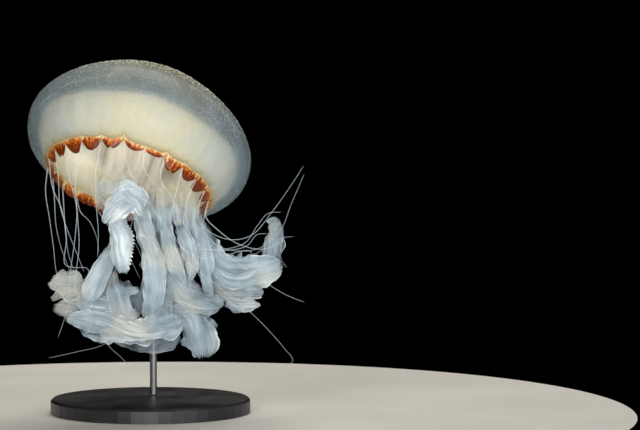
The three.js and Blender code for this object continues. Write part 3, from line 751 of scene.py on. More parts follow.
# The arms' main folds: waypoints with half widths, then the look, the number of layers and
# how each is made.
FOLDS = {
    "arm_left_flap": [
        ([(0, -41, 148, 3), (-6, -43, 151, 7.5), (-13, -45, 150.5, 8.5), (-19.5, -46, 146, 7),
          (-24.5, -46, 141, 5), (-29, -45, 135.5, 2.5)],
         "bright", 2, dict(pleats=3, depth=1.2, wave=13, appear=1, lobing=0.25, ruffle=2)),
        ([(-20, -42, 157.5, 3), (-12, -44, 162, 3), (-6.5, -44, 157, 4), (-3.5, -44, 149, 3)],
         "bright", 1, dict(pleats=1, depth=0.8, appear=5)),
        ([(-21.5, -42, 143, 3.5), (-20, -43, 135.5, 4.5), (-16.5, -44, 126.5, 8),
          (-16.5, -44, 117, 7.2), (-16.5, -44, 108, 5.8), (-16, -43, 100.5, 4.6)],
         "bright", 1, dict(teeth=2.4, ruffle=0.6, bow=0.25, depth=0.35, pleats=2, lobing=0.05,
                           spacing=0.5, appear=1, fringe=2, blunt=0.3)),
        ([(-3, -46, 151, 2), (-11, -47.5, 147.5, 4), (-19, -47, 141, 3.5), (-26, -46, 134.5, 1.5)],
         "bright", 1, dict(pleats=1, depth=0.6, bow=0.35, appear=3, vanish=3)),
        ([(-16, -46, 158, 1.5), (-11, -48, 153, 3), (-6, -47, 146, 3.5), (-4, -45, 139, 2)],
         "bright", 1, dict(pleats=1, depth=0.6, bow=0.35, appear=3, vanish=3)),
        ([(-21, -41, 143.5, 4.5), (-19.5, -42, 131.5, 7), (-18.5, -42, 114.5, 6), (-18, -41, 103, 4)],
         "dense", 1, dict(ruffle=0.7, depth=0.35)),
    ],
    "arm_left": [
        ([(-24.5, -34, 118.5, 3), (-27.5, -36, 110, 5), (-32.5, -37, 100.5, 6),
          (-37.5, -37, 90.5, 6.5), (-42.5, -36, 80, 6)],
         "dense", 2, dict(pleats=7, depth=0.5, ruffle=0.6, fringe=2, lobing=0.08, blunt=0.3,
                          vanish=5)),
        ([(-70, -16, 90.5, 1), (-63, -19, 91, 7), (-54, -22, 90.5, 10.5), (-43.5, -25, 89.5, 8.5)],
         "veil", 3, dict(ruffle=1.4, wave=12, appear=1, lobing=0.35, vanish=6)),
        ([(-68, -16, 81, 1.5), (-61, -18, 84, 3.5), (-52, -20, 86.5, 6), (-43.5, -22, 88, 6)],
         "veil", 1, dict(ruffle=1, wave=12, appear=1, lobing=0.35, vanish=6)),
        ([(-26.5, -18, 102.5, 4), (-27.5, -20, 90, 8.5), (-30, -21, 79, 12),
          (-32.5, -22, 68.5, 13.5)], "veil", 2, dict(ruffle=1.8)),
        ([(-35, -27, 90, 6), (-29.5, -29, 79, 11), (-21, -31, 71.5, 12), (-8, -32, 66, 8)],
         "veil", 2, dict(ruffle=1.8, wave=18)),
        ([(-22, -34, 96.5, 3), (-21, -35, 88, 6), (-18.5, -36, 78, 7), (-15, -36, 66, 6.5)],
         "dense", 1, dict(bow=0.3, wave=18, vanish=8, appear=10)),
        ([(-44, -26, 90, 6), (-40, -28, 80, 9), (-34, -30, 71, 8)], "veil", 2, dict(vanish=4)),
        ([(-23.5, -31, 91.5, 1.5), (-18, -32, 88, 2.5), (-11, -32, 88, 2.5), (-5, -31, 89.5, 2)],
         "dense", 1, dict(ruffle=0.5, depth=0.2, appear=2, vanish=4)),
    ],
    "arm_middle": [
        ([(-5, -32, 148, 5), (-2.5, -34, 135, 5.2), (1, -35, 122, 5.8), (4.5, -35, 109.5, 6.6),
          (5, -34, 97, 7.2), (4.5, -34, 85, 6), (2, -34, 73, 5.5), (1.5, -34, 62, 4)],
         "dense", 2, dict(pleats=2, wave=21, ruffle=1.4, vanish=9, depth=0.3)),
        ([(-4, -38, 137, 3), (0.5, -40, 130, 4), (4, -40, 122.5, 3.5), (5.5, -39, 116, 2.5),
          (6.5, -38, 110, 1)],
         "dense", 1, dict(ruffle=0.9, bow=0.3, lobing=0.4, blunt=1, taper=2, teeth=1.2)),
        ([(11, -26, 146.5, 4.5), (13, -30, 134.5, 3.5), (14, -31, 122, 4), (17.5, -31, 109.5, 5),
          (22, -30, 98.5, 5.5), (26.5, -29, 89, 2.5)],
         "dense", 2, dict(blunt=0.9, taper=3, wave=19, depth=0.3)),
        ([(9, -22, 121.5, 7), (14, -24, 104, 9), (24.5, -24, 88, 7.5), (37, -22, 80.5, 5.5),
          (52.5, -20, 77.5, 3.5)], "veil", 3, dict(wave=21)),
        ([(-56.5, -31, 69, 2), (-43, -36, 67, 7.5), (-29.5, -38, 65, 9.5), (-16.5, -38, 62, 9),
          (-4.5, -38, 60.5, 8), (6.5, -36, 62.5, 8), (15.5, -34, 64, 9.5), (24.5, -30, 68, 7)],
         "dense", 2, dict(ruffle=1.8, wave=17, lobing=0.25, appear=3, depth=0.4, vanish=4)),
        ([(-42, -40, 72, 3), (-28.5, -42, 68.5, 5), (-13.5, -42, 62, 5.5), (2.5, -41, 59.5, 5),
          (16.5, -38, 62, 3.5)], "dense", 1, dict(wave=18, vanish=8, appear=10)),
        ([(-47, -33, 74, 6), (-33, -35, 74, 8), (-18, -36, 70, 9), (-4, -36, 67, 8)],
         "veil", 2, dict(wave=18, vanish=8, appear=8)),
        ([(-66.5, -22, 75.5, 2.5), (-53, -28, 74, 7), (-39, -30, 73.5, 9), (-25, -30, 75, 8)],
         "veil", 2, dict(ruffle=1.2, lobing=0.3, appear=4, vanish=8)),
        ([(-26.5, -20, 55, 3), (-12.5, -21, 52, 5), (2, -21, 50, 5.5), (14.5, -20, 53, 6),
          (21.5, -18, 57.5, 5)], "veil", 2, dict(ruffle=1.5, lobing=0.2)),
        ([(-22.5, -20, 80, 10), (-12.5, -20, 79, 11.5), (-2, -20, 80.5, 12)], "veil", 2, {}),
    ],
    "arm_rear": [
        ([(6, -18, 168, 3.5), (7.5, -20, 154.5, 5), (9, -24, 141.5, 5.5), (11, -25, 126, 6)],
         "rooted", 1, dict(appear=26, vanish=8, depth=0.3)),
        ([(17, -12, 166, 4), (18, -16, 155, 5), (20, -20, 143.5, 5), (23, -21, 131, 4.5)],
         "rooted", 1, dict(appear=26, vanish=6, depth=0.3)),
        ([(22.5, -20, 133, 3.5), (26, -24, 121.5, 4.5), (29.5, -25, 112, 5), (30.5, -25, 102, 4.5),
          (27.5, -24, 92, 2)], "dense", 2, dict(blunt=0.9, taper=3, lobing=0.22, depth=0.3)),
        ([(11.5, -6, 111.5, 6), (11.5, -8, 95.5, 12), (12.5, -8, 83, 15), (14, -9, 69, 13)],
         "veil", 3, dict(pleats=3, wave=20)),
        ([(6.5, -10, 70, 6), (16.5, -10, 70, 7), (29, -9, 71, 7.5), (44.5, -8, 73.5, 5)],
         "veil", 2, dict(ruffle=2, lobing=0.25)),
        ([(2, -14, 69, 4), (15, -16, 72.5, 4.5), (30, -15, 74, 4.5), (49, -13, 73.5, 2.5)],
         "dense", 1, dict(ruffle=1.5, wave=12, lobing=0.3, appear=10)),
        ([(26, -14, 76, 5), (30, -15, 65, 8), (34, -16, 56.5, 11), (36.5, -16, 47.5, 9.5),
          (37, -15, 38.5, 7)],
         "dense", 2, dict(pleats=4, fringe=5, ruffle=1.8, lobing=0.28, blunt=0.2, appear=12)),
        ([(38.5, -8, 66.5, 3), (44, -9, 62.5, 3), (47.5, -9, 61, 2.5)], "dense", 1, dict(wave=6)),
    ],
    "arm_right": [
        ([(28, -10, 166, 4), (28, -14, 152.5, 5.5), (30, -16, 139, 6.5), (34, -16, 126, 6),
          (37, -15, 110, 5)], "rooted", 1, dict(appear=26, vanish=8, depth=0.3)),
        ([(36, -16, 135.5, 3), (38.5, -20, 119.5, 4.5), (40, -21, 105.5, 4.5), (40.5, -21, 94, 3.5),
          (43, -20, 81.5, 3)],
         "dense", 2, dict(pleats=2, depth=0.3, fringe=5, blunt=0.4, taper=1.6, lobing=0.25)),
        ([(36, -14, 133.5, 4), (41.5, -14, 114.5, 8), (51, -14, 103, 10), (64, -13, 99.5, 10.5),
          (78, -12, 100.5, 11), (93, -10, 104.5, 8.5)],
         "dense", 2, dict(pleats=8, depth=0.3, fringe=4, lobing=0.18, ruffle=1.2, wave=18,
                          blunt=0.3, appear=14)),
        ([(43, -15, 108, 4), (52, -17, 97.5, 6), (66, -17, 94.5, 6), (80, -16, 99, 5)],
         "dense", 1, dict(pleats=4, wave=18, appear=12, vanish=10, depth=0.3)),
        ([(59, -13, 103, 4), (62, -13, 108, 2.5), (64.5, -13, 113.5, 0.8)],
         "dense", 1, dict(blunt=1, ruffle=0.5, appear=2)),
        ([(86, -8, 102.5, 7), (87, -8, 113, 5.5), (88, -7, 125.5, 4.8), (87.5, -6, 134, 5.5)],
         "veil", 2, dict(pleats=3, fringe=3, blunt=0.2, lobing=0.3)),
        ([(83.5, -8, 132, 2.5), (87, -8, 135, 3.2), (91.5, -8, 133, 2.5)],
         "veil", 2, dict(wave=6, lobing=0.4, appear=1)),
        ([(52.5, -6, 78, 2), (60, -6, 76, 4), (68.5, -5, 76, 4), (77.5, -4, 75.5, 2.5)],
         "dense", 2, dict(wave=8, lobing=0.4, ruffle=2, appear=2)),
        ([(66, -14, 84.5, 2.5), (73, -15, 85.5, 5), (79.5, -15, 84, 4)],
         "dense", 1, dict(blunt=0.2, fringe=2, appear=4)),
        ([(42, -10, 84, 4), (53, -11, 85, 5), (64, -12, 85, 5), (74, -12, 86, 3)],
         "veil", 2, dict(ruffle=1, vanish=4)),
        ([(47, -22, 99, 1), (55, -23, 92.5, 1.6), (66, -23, 91.5, 1.8), (77, -21, 96, 1)],
         "dense", 1, dict(pleats=1, depth=0.2, ruffle=0.3, appear=8, vanish=8)),
        ([(47, -22, 104, 1), (56, -23, 97.5, 1.8), (67, -23, 97.5, 2), (78, -21, 103, 1)],
         "dense", 1, dict(pleats=1, depth=0.2, ruffle=0.3, appear=8, vanish=8)),
        ([(82, -10, 104, 3), (82.5, -10, 112, 3.5), (84, -9, 122, 2.5), (85.5, -8, 129, 1.5)],
         "veil", 1, dict(lobing=0.4, vanish=6)),
    ],
}


def lip(start, end, rise, drop, seed, layers=2):
    """Part of the mouth's crumpled lip: a sheet that leaves the column and hangs straight down."""
    sheets = []
    for layer in range(layers):
        azimuth = np.linspace(start, end, int((end - start) / 1.6))[:, None]
        out = np.linspace(0, 1, 34)
        turn = 2 * np.pi * azimuth / 24 + 3 * drift(azimuth / 20, seed=seed + layer)
        ends = np.sin(np.pi * np.linspace(0.08, 0.92, len(azimuth)))[:, None] ** 0.5
        loose = smooth(out * (rise + drop), rise * 0.6, rise + 4)
        radius = MOUTH_RADIUS * 1.12 + 1.2 * layer + 0 * azimuth
        radius = radius + loose * (1.5 * np.sin(turn) + 0.3 * np.sin(2.7 * turn + 4 * out))
        radius = radius + 1.2 * drift(azimuth / 9, out * 4, seed=seed + layer + 5)
        height = -MOUTH_DEPTH + rise - np.minimum(out * (rise + drop), rise + 2) * ends
        points = in_place(around(azimuth + 6 * drift(out * 3, azimuth / 15, seed=seed), radius, height))
        fall = np.maximum(out * (rise + drop) - rise - 2, 0) * ends
        fall = fall * (1 + 0.25 * drift(azimuth / 8, seed=seed + layer + 9))
        points[..., 2] -= fall
        points[..., 1] -= 0.25 * fall
        hem = np.where(out < 0.7, out / 0.7 - 1, out) + 0 * azimuth
        lie = lie_of(out * 30 + 0 * azimuth, azimuth * 0.3 + 40 * seed, hem)
        sheets.append((slab(points, 0.25), slab_lie(lie)))
    return sheets


# The mouth's lips: from and to which azimuth, how far up the column and how far down they
# reach, and which arm they belong to.
LIPS = {
    "arm_left_flap": [(-75, 15, 11, 9)],
    "arm_left": [(-165, -80, 10, 9)],
    "arm_middle": [(-10, 70, 10, 10)],
    "arm_right": [(60, 130, 10, 10)],
    "arm_rear": [(120, 200, 9, 9)],
}


def frills():
    chance = np.random.default_rng(11)
    for number, (name, made) in enumerate(ARMS.items()):
        path = Route(made["stations"])
        frill = Surface()
        count = CURTAINS[name]
        for n in range(count):
            seed = 31 * number + 5 * n
            angle = 360 * n / count + chance.uniform(-15, 15)
            start, curl = chance.uniform(0.15, 0.35), chance.uniform(-60, 60)
            rings, lie = curtain(path, start, CURTAIN_ENDS.get(name, 1), angle, curl, seed)
            frill.add(rings, lie, FRILL_KINDS.index("veil"))
        for n, (rows, kind, layers, ways) in enumerate(FOLDS[name]):
            for layer in range(layers):
                seed = 31 * number + 7 * n + 3 * layer + 300
                rings, lie = fold(rows, **ways, seed=seed, away=1.6 * layer, wide=1 + 0.14 * layer)
                frill.add(rings, lie, FRILL_KINDS.index(kind))
        for n, place in enumerate(LIPS[name]):
            for rings, lie in lip(*place, seed=31 * number + n + 600):
                frill.add(rings, lie, FRILL_KINDS.index("lip"))
        frill.build(f"{name}_frill", FRILL_LOOKS)


# ---- Warts -------------------------------------------------------------------------------


def warts():
    """Fine pale stinging warts in rows all over the outside of the bell."""
    spacing = 2.2
    profile = np.vstack(
        [
            dome(BELL_RADIUS - BELL_INSET, CROWN_HEIGHT - BELL_INSET, SHOULDER_FLATTENING, 90),
            skirt(BELL_RADIUS - BELL_INSET, MARGIN_RADIUS - BELL_INSET, MARGIN_DEPTH, 32),
        ]
    )
    travelled = np.concatenate([[0], np.cumsum(np.linalg.norm(np.diff(profile, axis=0), axis=1))])
    chance = np.random.default_rng(5)
    meridian, azimuth = [], []
    for distance in np.arange(spacing / 2, travelled[-1] - 4, spacing):
        radius = np.interp(distance, travelled, profile[:, 0])
        count = max(int(2 * np.pi * radius / spacing), 3)
        turns = np.arange(count) / count + chance.uniform()
        azimuth.append(360 * (turns + chance.normal(0, 0.18, count) / count))
        meridian.append(distance + chance.normal(0, 0.15 * spacing, count))
    azimuth, meridian = np.concatenate(azimuth), np.concatenate(meridian)
    radius = np.interp(meridian, travelled, profile[:, 0])
    height = np.interp(meridian, travelled, profile[:, 1])
    ahead = np.interp(meridian + 0.5, travelled, profile[:, 0]) - radius
    fall = np.interp(meridian + 0.5, travelled, profile[:, 1]) - height
    centre = around(azimuth, radius, height)
    down = unit(around(azimuth, ahead, fall))
    side = around(azimuth + 90, np.ones_like(radius), 0.0)
    out = unit(np.cross(side, down))
    out *= np.sign((out * centre).sum(1) + 1e-6)[:, None]
    size = chance.uniform(0.3, 0.62, len(centre))[:, None, None]

    sides = 4
    turn = np.arange(sides) * 360 / sides
    foot = side[:, None] * cos(turn)[:, None] + down[:, None] * sin(turn)[:, None]
    levels = [(0.0, -0.4), (1.0, 0.0), (0.0, 0.8)]  # width and height, as shares of the size
    points = np.stack(
        [centre[:, None] + size * (foot * wide + out[:, None] * tall) for wide, tall in levels], 1
    )
    points = in_place(points)
    row, column = (a.reshape(-1, 1) for a in np.mgrid[0 : len(levels) - 1, 0:sides])
    index = (row + [0, 0, 1, 1]) * sides + (column + [0, 1, 1, 0]) % sides
    each = len(levels) * sides
    corners = (np.arange(len(centre))[:, None, None] * each + index).reshape(-1, 4)
    spread = meridian / travelled[-1] * 0.47
    root = np.stack([0.5 + spread * sin(azimuth), 0.5 - spread * cos(azimuth)], -1)
    patch = np.stack([cos(turn), sin(turn)], -1) * 0.0015
    shrink = np.array([0.3, 1.0, 0.3])[:, None, None]
    patches = (root[:, None, None] + shrink * patch).reshape(-1, 2)
    lie = lie_of(azimuth, meridian / travelled[-1], chance.uniform(0, 1, len(centre)))
    lie = np.repeat(lie, each, 0)
    made_mesh(
        "bell_warts", [points.reshape(-1, 3)], [corners], [lie[corners]], [patches[corners]],
        [np.zeros(len(corners))], [WART_LOOK],
    )


# ---- Materials ---------------------------------------------------------------------------


def srgb(text):
    """A hex colour as linear red, green, blue and alpha."""
    parts = [int(text[n : n + 2], 16) / 255 for n in (1, 3, 5)]
    return [p / 12.92 if p <= 0.04045 else ((p + 0.055) / 1.055) ** 2.4 for p in parts] + [1.0]


def dress(tree, node, sockets):
    """Sets a node's inputs, each to a value or to what another node gives."""
    for name, value in dict(sockets).items():
        if isinstance(value, bpy.types.NodeSocket):
            tree.links.new(value, node.inputs[name])
        else:
            node.inputs[name].default_value = value


def put(tree, kind, inputs=(), stops=(), **settings):
    """Adds a node with its settings, and its inputs' values or links."""
    node = tree.nodes.new(kind)
    for name, value in settings.items():
        setattr(node, name, value)
    dress(tree, node, inputs)
    for n, (place, colour) in enumerate(stops):
        if n >= 2:
            node.color_ramp.elements.new(place)
        node.color_ramp.elements[n].position = place
        node.color_ramp.elements[n].color = colour
    return node


def new_material(name):
    material = bpy.data.materials.new(name)
    material.use_nodes = True
    tree = material.node_tree
    return material, tree, tree.nodes["Principled BSDF"]


def pattern(tree):
    """A piece's pattern coordinates, whole and as X, Y and Z."""
    lie = put(tree, "ShaderNodeAttribute", attribute_name="lie").outputs["Vector"]
    return lie, put(tree, "ShaderNodeSeparateXYZ", {"Vector": lie}).outputs


def in_object(tree):
    return put(tree, "ShaderNodeTexCoord").outputs["Object"]


def noise(tree, place, scale, detail, **more):
    """Cloudy noise, mostly from 0.3 to 0.7."""
    inputs = {"Vector": place, "Scale": scale, "Detail": detail, **more}
    return put(tree, "ShaderNodeTexNoise", inputs).outputs["Fac"]


def streaks(tree, place, stretch, detail, **more):
    """Noise with its own scale along each of three coordinates."""
    drawn = put(tree, "ShaderNodeVectorMath", {0: place, 1: stretch}, operation="MULTIPLY")
    return noise(tree, drawn.outputs[0], 1, detail, **more)


def ranged(tree, value, low, high, start, end, soft=False):
    """Goes from start to end as the value goes from low to high, evenly or in a soft curve."""
    inputs = {"Value": value, "From Min": low, "From Max": high, "To Min": start, "To Max": end}
    curve = "SMOOTHSTEP" if soft else "LINEAR"
    return put(tree, "ShaderNodeMapRange", inputs, interpolation_type=curve).outputs[0]


def worked(tree, operation, *values, clamp=False):
    inputs = dict(enumerate(values))
    return put(tree, "ShaderNodeMath", inputs, operation=operation, use_clamp=clamp).outputs[0]


def mixed(tree, share, first, second):
    """From one colour to another, as the share goes from 0 to 1."""
    return put(tree, "ShaderNodeMix", {0: share, 6: first, 7: second}, data_type="RGBA").outputs[2]


def toned(tree, value, *tones):
    """A colour for each value, from pairs of a value and a hex colour."""
    stops = [(place, srgb(text)) for place, text in tones]
    return put(tree, "ShaderNodeValToRGB", {"Fac": value}, stops=stops).outputs["Color"]


def let_light_in(tree, skin, depth):
    """Wet flesh that light soaks into, about as deep as the depth in mm."""
    dress(
        tree, skin,
        {"Subsurface Weight": 0.7, "Subsurface Radius": (1.0, 0.9, 0.8), "Subsurface Scale": depth * MM},
    )


def clear_jelly():
    """Living jelly, nearly all water: wet, see-through and faintly blue, with sixteen fine pale lines
    that run down from the crown, which is tinted yellow as painted rim light along the top."""
    material, tree, skin = new_material("clear_jelly")
    lie, part = pattern(tree)
    place = in_object(tree)
    # Painted rim light: the crown is tinted yellow, fading out down the sides.
    crown_rim_light = ranged(tree, part["Y"], 20, 95, 1, 0, soft=True)
    tint = mixed(tree, crown_rim_light, srgb("#A9C1CF"), srgb("#DCD2A0"))
    # Distance from the nearest of the sixteen lines, which wander a little.
    shifted = worked(tree, "MULTIPLY_ADD", noise(tree, place, 25, 1), 16, part["X"])
    apart = worked(tree, "PINGPONG", shifted, 360 / 16 / 2)
    line = ranged(tree, apart, 0, 1.8, 0.12, 0, soft=True)
    broken = ranged(tree, streaks(tree, lie, (0.25, 0.04, 0), 2), 0.5, 0.75, 0, 0.8)
    faint = worked(tree, "MULTIPLY", line, broken)
    body = ranged(tree, noise(tree, place, 60, 3), 0.3, 0.7, 0.2, 0.31)
    ribbed = worked(tree, "ADD", body, faint)
    margin = ranged(tree, part["Z"], -0.7, 0, 0, 0.3, soft=True)
    creamy = ranged(tree, part["Z"], -0.9, 0, 0, 1, soft=True)
    dress(
        tree, skin,
        {
            "Base Color": mixed(tree, creamy, tint, srgb("#A89D78")),
            "Alpha": worked(tree, "ADD", ribbed, margin, clamp=True),
            "Roughness": 0.35, "Specular IOR Level": 0.25, "IOR": 1.35,
        },
    )
    return material


def milky_tissue(name, low=1.0, high=1.0, ends=None, pale="#E9E6D4", deep="#CFCBB4", near=None):
    """The stomach wall and swimming muscle: milky cream, soft and thick enough to hide what is
    behind it, with fine folds that run out from the middle. Its veils are see-through."""
    material, tree, skin = new_material(name)
    lie, part = pattern(tree)
    cloud = noise(tree, in_object(tree), 35, 4)
    streak = streaks(tree, lie, (0.35, 0.03, 0), 3)
    share = worked(tree, "MULTIPLY", worked(tree, "ADD", cloud, streak), 0.5)
    colour = toned(tree, share, (0.36, deep), (0.64, pale))
    if near:
        # Over the stomach, on the near side, it's another colour.
        apart = worked(tree, "ABSOLUTE", worked(tree, "SUBTRACT", part["X"], STOMACH_AZIMUTH))
        colour = mixed(tree, ranged(tree, apart, 8, 62, 1, 0, soft=True), colour, srgb(near))
    alpha = ranged(tree, share, 0.3, 0.7, low, high)
    if ends:
        # Full at one of these shares of its length, and clear at the other.
        alpha = worked(tree, "MULTIPLY", alpha, ranged(tree, part["Z"], *ends, 1, 0, soft=True))
    if low < 1 or ends:
        dress(tree, skin, {"Alpha": alpha})
    bump = put(tree, "ShaderNodeBump", {"Height": streak, "Distance": 0.0006, "Strength": 0.5})
    if low == 1:
        let_light_in(tree, skin, 3)
    dress(
        tree, skin,
        {"Base Color": colour, "Normal": bump.outputs["Normal"], "Roughness": 0.45, "IOR": 1.36},
    )
    return material


def stinging_wart():
    """Milky beads in the clear jelly, some paler than others, and fainter low on the bell."""
    material, tree, skin = new_material("stinging_wart")
    part = pattern(tree)[1]
    chance = ranged(tree, part["Z"], 0.4, 1, 0.03, 0.75)
    high = ranged(tree, part["Y"], 0.42, 0.62, 1, 0.15, soft=True)
    dress(
        tree, skin,
        {
            "Base Color": toned(tree, part["Z"], (0, "#C9C6B0"), (1, "#EDF1EC")),
            "Alpha": worked(tree, "MULTIPLY", chance, high),
            "Roughness": 0.4, "IOR": 1.35,
        },
    )
    return material


def orange_lappet():
    """Milky tissue with orange-brown pigment in ragged streaks that run out to the tips."""
    material, tree, skin = new_material("orange_lappet")
    lie, part = pattern(tree)
    streak = streaks(tree, lie, (0.8, 0.12, 0.6), 3, Roughness=0.65)
    # How far across the lobe: 0 in its cleft, and half the lobe in its middle.
    half = LOBE_WIDTH / 2
    across = worked(tree, "PINGPONG", worked(tree, "ADD", part["X"], 360 - half), half)
    middle = ranged(tree, across, 0, half * 0.45, -0.25, 0.25, soft=True)
    reach = worked(tree, "ADD", part["Z"], middle)
    mottled = worked(tree, "MULTIPLY_ADD", noise(tree, in_object(tree), 600, 2), 1.4, reach)
    ragged = worked(tree, "MULTIPLY_ADD", streak, 2, mottled)
    share = ranged(tree, ragged, 1.3, 3.1, 0, 1)
    tones = (0.34, "#BFB084"), (0.42, "#C27A2C"), (0.53, "#A8500C"), (0.7, "#5E2204")
    dress(
        tree, skin,
        {"Base Color": toned(tree, share, *tones), "Alpha": 0.96, "Roughness": 0.4, "IOR": 1.36},
    )
    return material


def tentacle_tissue():
    """Thin wet threads, pinkish at the root and clear white below."""
    material, tree, skin = new_material("tentacle_tissue")
    lie, part = pattern(tree)
    tones = (0, "#DCCCC4"), (0.12, "#CBD6DD"), (1, "#B9CCDA")
    dress(
        tree, skin,
        {
            "Base Color": toned(tree, part["Z"], *tones),
            "Alpha": ranged(tree, noise(tree, lie, 0.9, 2), 0.3, 0.7, 0.12, 0.34),
            "Roughness": 0.35, "IOR": 1.36,
        },
    )
    return material


def membrane(name, low, high, hem, thin, thick, cream=0.0):
    """The arms' ruffled membrane: bluish white and partly see-through, creamier in places, with
    soft streaks along it, a fine pale dense hem that is painted brighter as well, for the glow of
    the sheet seen edge-on, and thin where it starts."""
    material, tree, skin = new_material(name)
    lie, part = pattern(tree)
    place = in_object(tree)
    cloud = noise(tree, place, 70, 1)
    streak = streaks(tree, lie, (0.022, 0.24, 0), 1.5)
    blend = put(tree, "ShaderNodeMix", {0: 0.6, 2: cloud, 3: streak}).outputs[0]
    creamy = ranged(tree, noise(tree, place, 30, 1), 0.48, 0.7, 0, 0.5, soft=True)
    colour = toned(tree, blend, (0.34, thin), (0.66, thick))
    colour = mixed(tree, creamy, colour, srgb("#E4E0D0"))
    # The hem is pale, denser tissue, and is also painted brighter: painted light for the glow where the
    # sheet is seen edge-on.
    hem_glow_band = ranged(tree, part["Z"], 0.9, 0.99, 0, 1)
    edge = worked(tree, "MULTIPLY", hem_glow_band, ranged(tree, cloud, 0.4, 0.62, 0, 1))
    colour = mixed(tree, edge, colour, srgb("#DFE8ED"))
    rooted = ranged(tree, part["Z"], -0.9, 0, cream, 0)
    colour = mixed(tree, rooted, colour, srgb("#E9E2C8"))
    body = ranged(tree, blend, 0.34, 0.66, low, high)
    padded = worked(tree, "MULTIPLY_ADD", creamy, 0.25, body)
    hemmed = worked(tree, "MULTIPLY_ADD", edge, hem, padded, clamp=True)
    appear = ranged(tree, part["Z"], -1, 0, 0, 1, soft=True)
    dress(
        tree, skin,
        {
            "Base Color": colour, "Alpha": worked(tree, "MULTIPLY", hemmed, appear),
            "Roughness": 0.5, "Specular IOR Level": 0.3, "IOR": 1.36,
        },
    )
    return material


def satin_black_paint():
    """Sprayed enamel on steel: black, satin, with a faint orange peel."""
    material, tree, skin = new_material("satin_black_paint")
    place = in_object(tree)
    peel = noise(tree, place, 900, 2)
    wear = noise(tree, place, 40, 5)
    bump = put(tree, "ShaderNodeBump", {"Height": peel, "Distance": 0.0001, "Strength": 0.3})
    dress(
        tree, skin,
        {
            "Base Color": toned(tree, wear, (0.3, "#17181A"), (0.7, "#232427")),
            "Roughness": ranged(tree, wear, 0.3, 0.7, 0.3, 0.45),
            "Normal": bump.outputs["Normal"],
        },
    )
    return material


def brushed_steel():
    """Stainless rod, drawn and rubbed down: fine scratches along its length."""
    material, tree, skin = new_material("brushed_steel")
    scratch = streaks(tree, in_object(tree), (4000, 4000, 60), 2)
    dress(
        tree, skin,
        {
            "Base Color": toned(tree, scratch, (0.3, "#6C7073"), (0.7, "#83878A")),
            "Roughness": ranged(tree, scratch, 0.3, 0.7, 0.28, 0.42),
            "Metallic": 1.0,
        },
    )
    return material


# Places of the materials in the skin's list.
JELLY, MILKY, LAPPET, LINING, VEIL, HAZE, TENTACLE, ARM, MOUTH = range(9)
SKIN_LOOKS = [
    clear_jelly(),
    # The hollow's tissue is really milky cream, and its extra paleness over the lining is painted light,
    # for the light that soaks through the flesh into the hollow.
    milky_tissue("milky_tissue", pale="#FBF6E6", deep="#EDE6CC"),
    orange_lappet(),
    milky_tissue("milky_lining", 0.75, 0.98, pale="#E6E3CF", deep="#C6C2A6", near="#F0DE98"),
    milky_tissue("milky_veil", 0.1, 0.24, ends=(0.62, 0.35), near="#EFE4B4"),
    milky_tissue("milky_haze", 0.02, 0.11, ends=(0.62, 0.3)),
    tentacle_tissue(),
    membrane("arm_tissue", 0.12, 0.3, 0.0, "#8DA2AE", "#A9BAC2", cream=0.9),
    # The mouth column is pale cream, and its tone, brighter than the lining's, is painted light for the
    # brightly lit column in the hollow.
    milky_tissue("mouth_tissue", ends=(0.35, 1.05), pale="#F6F3E8", deep="#E4E0CF"),
]
FRILL_KINDS = ["veil", "dense", "bright", "rooted", "lip"]
FRILL_LOOKS = [
    membrane("veil_membrane", 0.03, 0.22, 0.2, "#8FA6B4", "#B4C4CE", cream=0.5),
    membrane("dense_membrane", 0.1, 0.5, 0.3, "#8EA5B4", "#BECCD4"),
    membrane("bright_membrane", 0.2, 0.72, 0.3, "#A9BECC", "#DEE6E9"),
    membrane("rooted_membrane", 0.12, 0.45, 0.2, "#8FA6B4", "#B8C6CE", cream=1.0),
    membrane("lip_membrane", 0.05, 0.2, 0.1, "#A9B9C2", "#C6D0D3", cream=1.0),
]
WART_LOOK = stinging_wart()

# ---- The animal --------------------------------------------------------------------------

skin = Surface()
bell(skin)
lining(skin)
wisps(skin)
tentacles(skin)
for made in ARMS.values():
    core(skin, Route(made["stations"]), made["ruffle"], made["waves"])
jelly_skin = skin.build("jelly_skin", SKIN_LOOKS)
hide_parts(*(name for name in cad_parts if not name.startswith("stand_")))
frills()
warts()

# ---- Stand -------------------------------------------------------------------------------

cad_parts["stand_base"].material_slots[0].material = satin_black_paint()
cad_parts["stand_rod"].material_slots[0].material = brushed_steel()

# ---- Floor, light and camera -------------------------------------------------------------


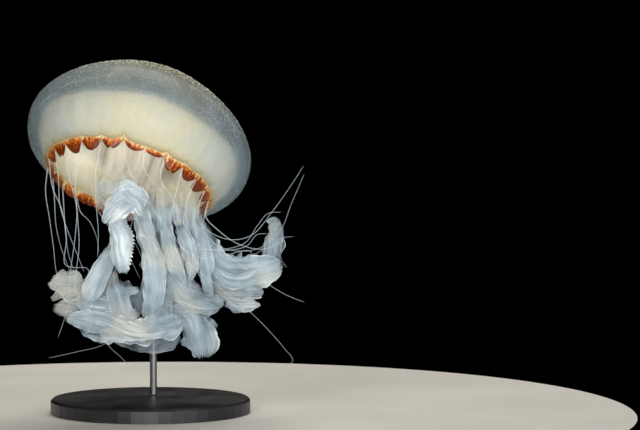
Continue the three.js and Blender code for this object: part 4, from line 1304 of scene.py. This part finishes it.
def floor():
    """A plain pale disc, lightly mottled."""
    edit = bmesh.new()
    bmesh.ops.create_circle(edit, cap_ends=True, segments=128, radius=0.34)
    mesh = bpy.data.meshes.new("floor")
    edit.to_mesh(mesh)
    edit.free()
    disc = bpy.data.objects.new("floor", mesh)
    bpy.context.collection.objects.link(disc)
    material, tree, skin = new_material("pale_floor")
    cloud = put(tree, "ShaderNodeTexNoise", {"Scale": 8.0, "Detail": 4.0}).outputs["Fac"]
    tone = toned(tree, cloud, (0.3, "#C9C7C2"), (0.7, "#D2D0CB"))
    dress(tree, skin, {"Base Color": tone, "Roughness": 0.8})
    mesh.materials.append(material)


def soft_light(name, place, size, power, tint):
    """A square soft light that faces the bell."""
    data = bpy.data.lights.new(name, "AREA")
    data.size = size
    data.energy = power
    data.color = srgb(tint)[:3]
    light = bpy.data.objects.new(name, data)
    light.location = place
    aim = Vector((0, 0, 0.15)) - light.location
    light.rotation_euler = aim.to_track_quat("-Z", "Y").to_euler()
    light.visible_camera = False
    bpy.context.collection.objects.link(light)


def camera():
    distance, elevation = 2.0, math.radians(3)
    aim = Vector((0.119, 0, 0.1386))
    view_width = 0.448  # what the frame takes in at the aim
    data = bpy.data.cameras.new("camera")
    data.sensor_width = 36
    data.lens = data.sensor_width * distance / view_width
    camera = bpy.data.objects.new("camera", data)
    camera.location = aim + distance * Vector((0, -math.cos(elevation), math.sin(elevation)))
    camera.rotation_euler = (aim - camera.location).to_track_quat("-Z", "Y").to_euler()
    bpy.context.collection.objects.link(camera)
    bpy.context.scene.camera = camera


floor()
soft_light("key_light", (-0.6, -1.2, 0.8), 0.7, 10, "#FFF8EE")
soft_light("front_light", (0.05, -1.5, -0.05), 0.8, 24, "#FFFCF6")
soft_light("fill_light", (1.0, -1.0, 0.4), 0.9, 8, "#F2F6FF")
soft_light("top_light", (0.1, 0.5, 1.1), 0.7, 10, "#FFFBF0")
camera()

world = bpy.data.worlds.new("dark_room")
world.use_nodes = True
world.node_tree.nodes["Background"].inputs["Color"].default_value = (0, 0, 0, 1)
bpy.context.scene.world = world
bpy.context.scene.view_settings.view_transform = "Standard"
bpy.context.scene.cycles.transparent_max_bounces = 48
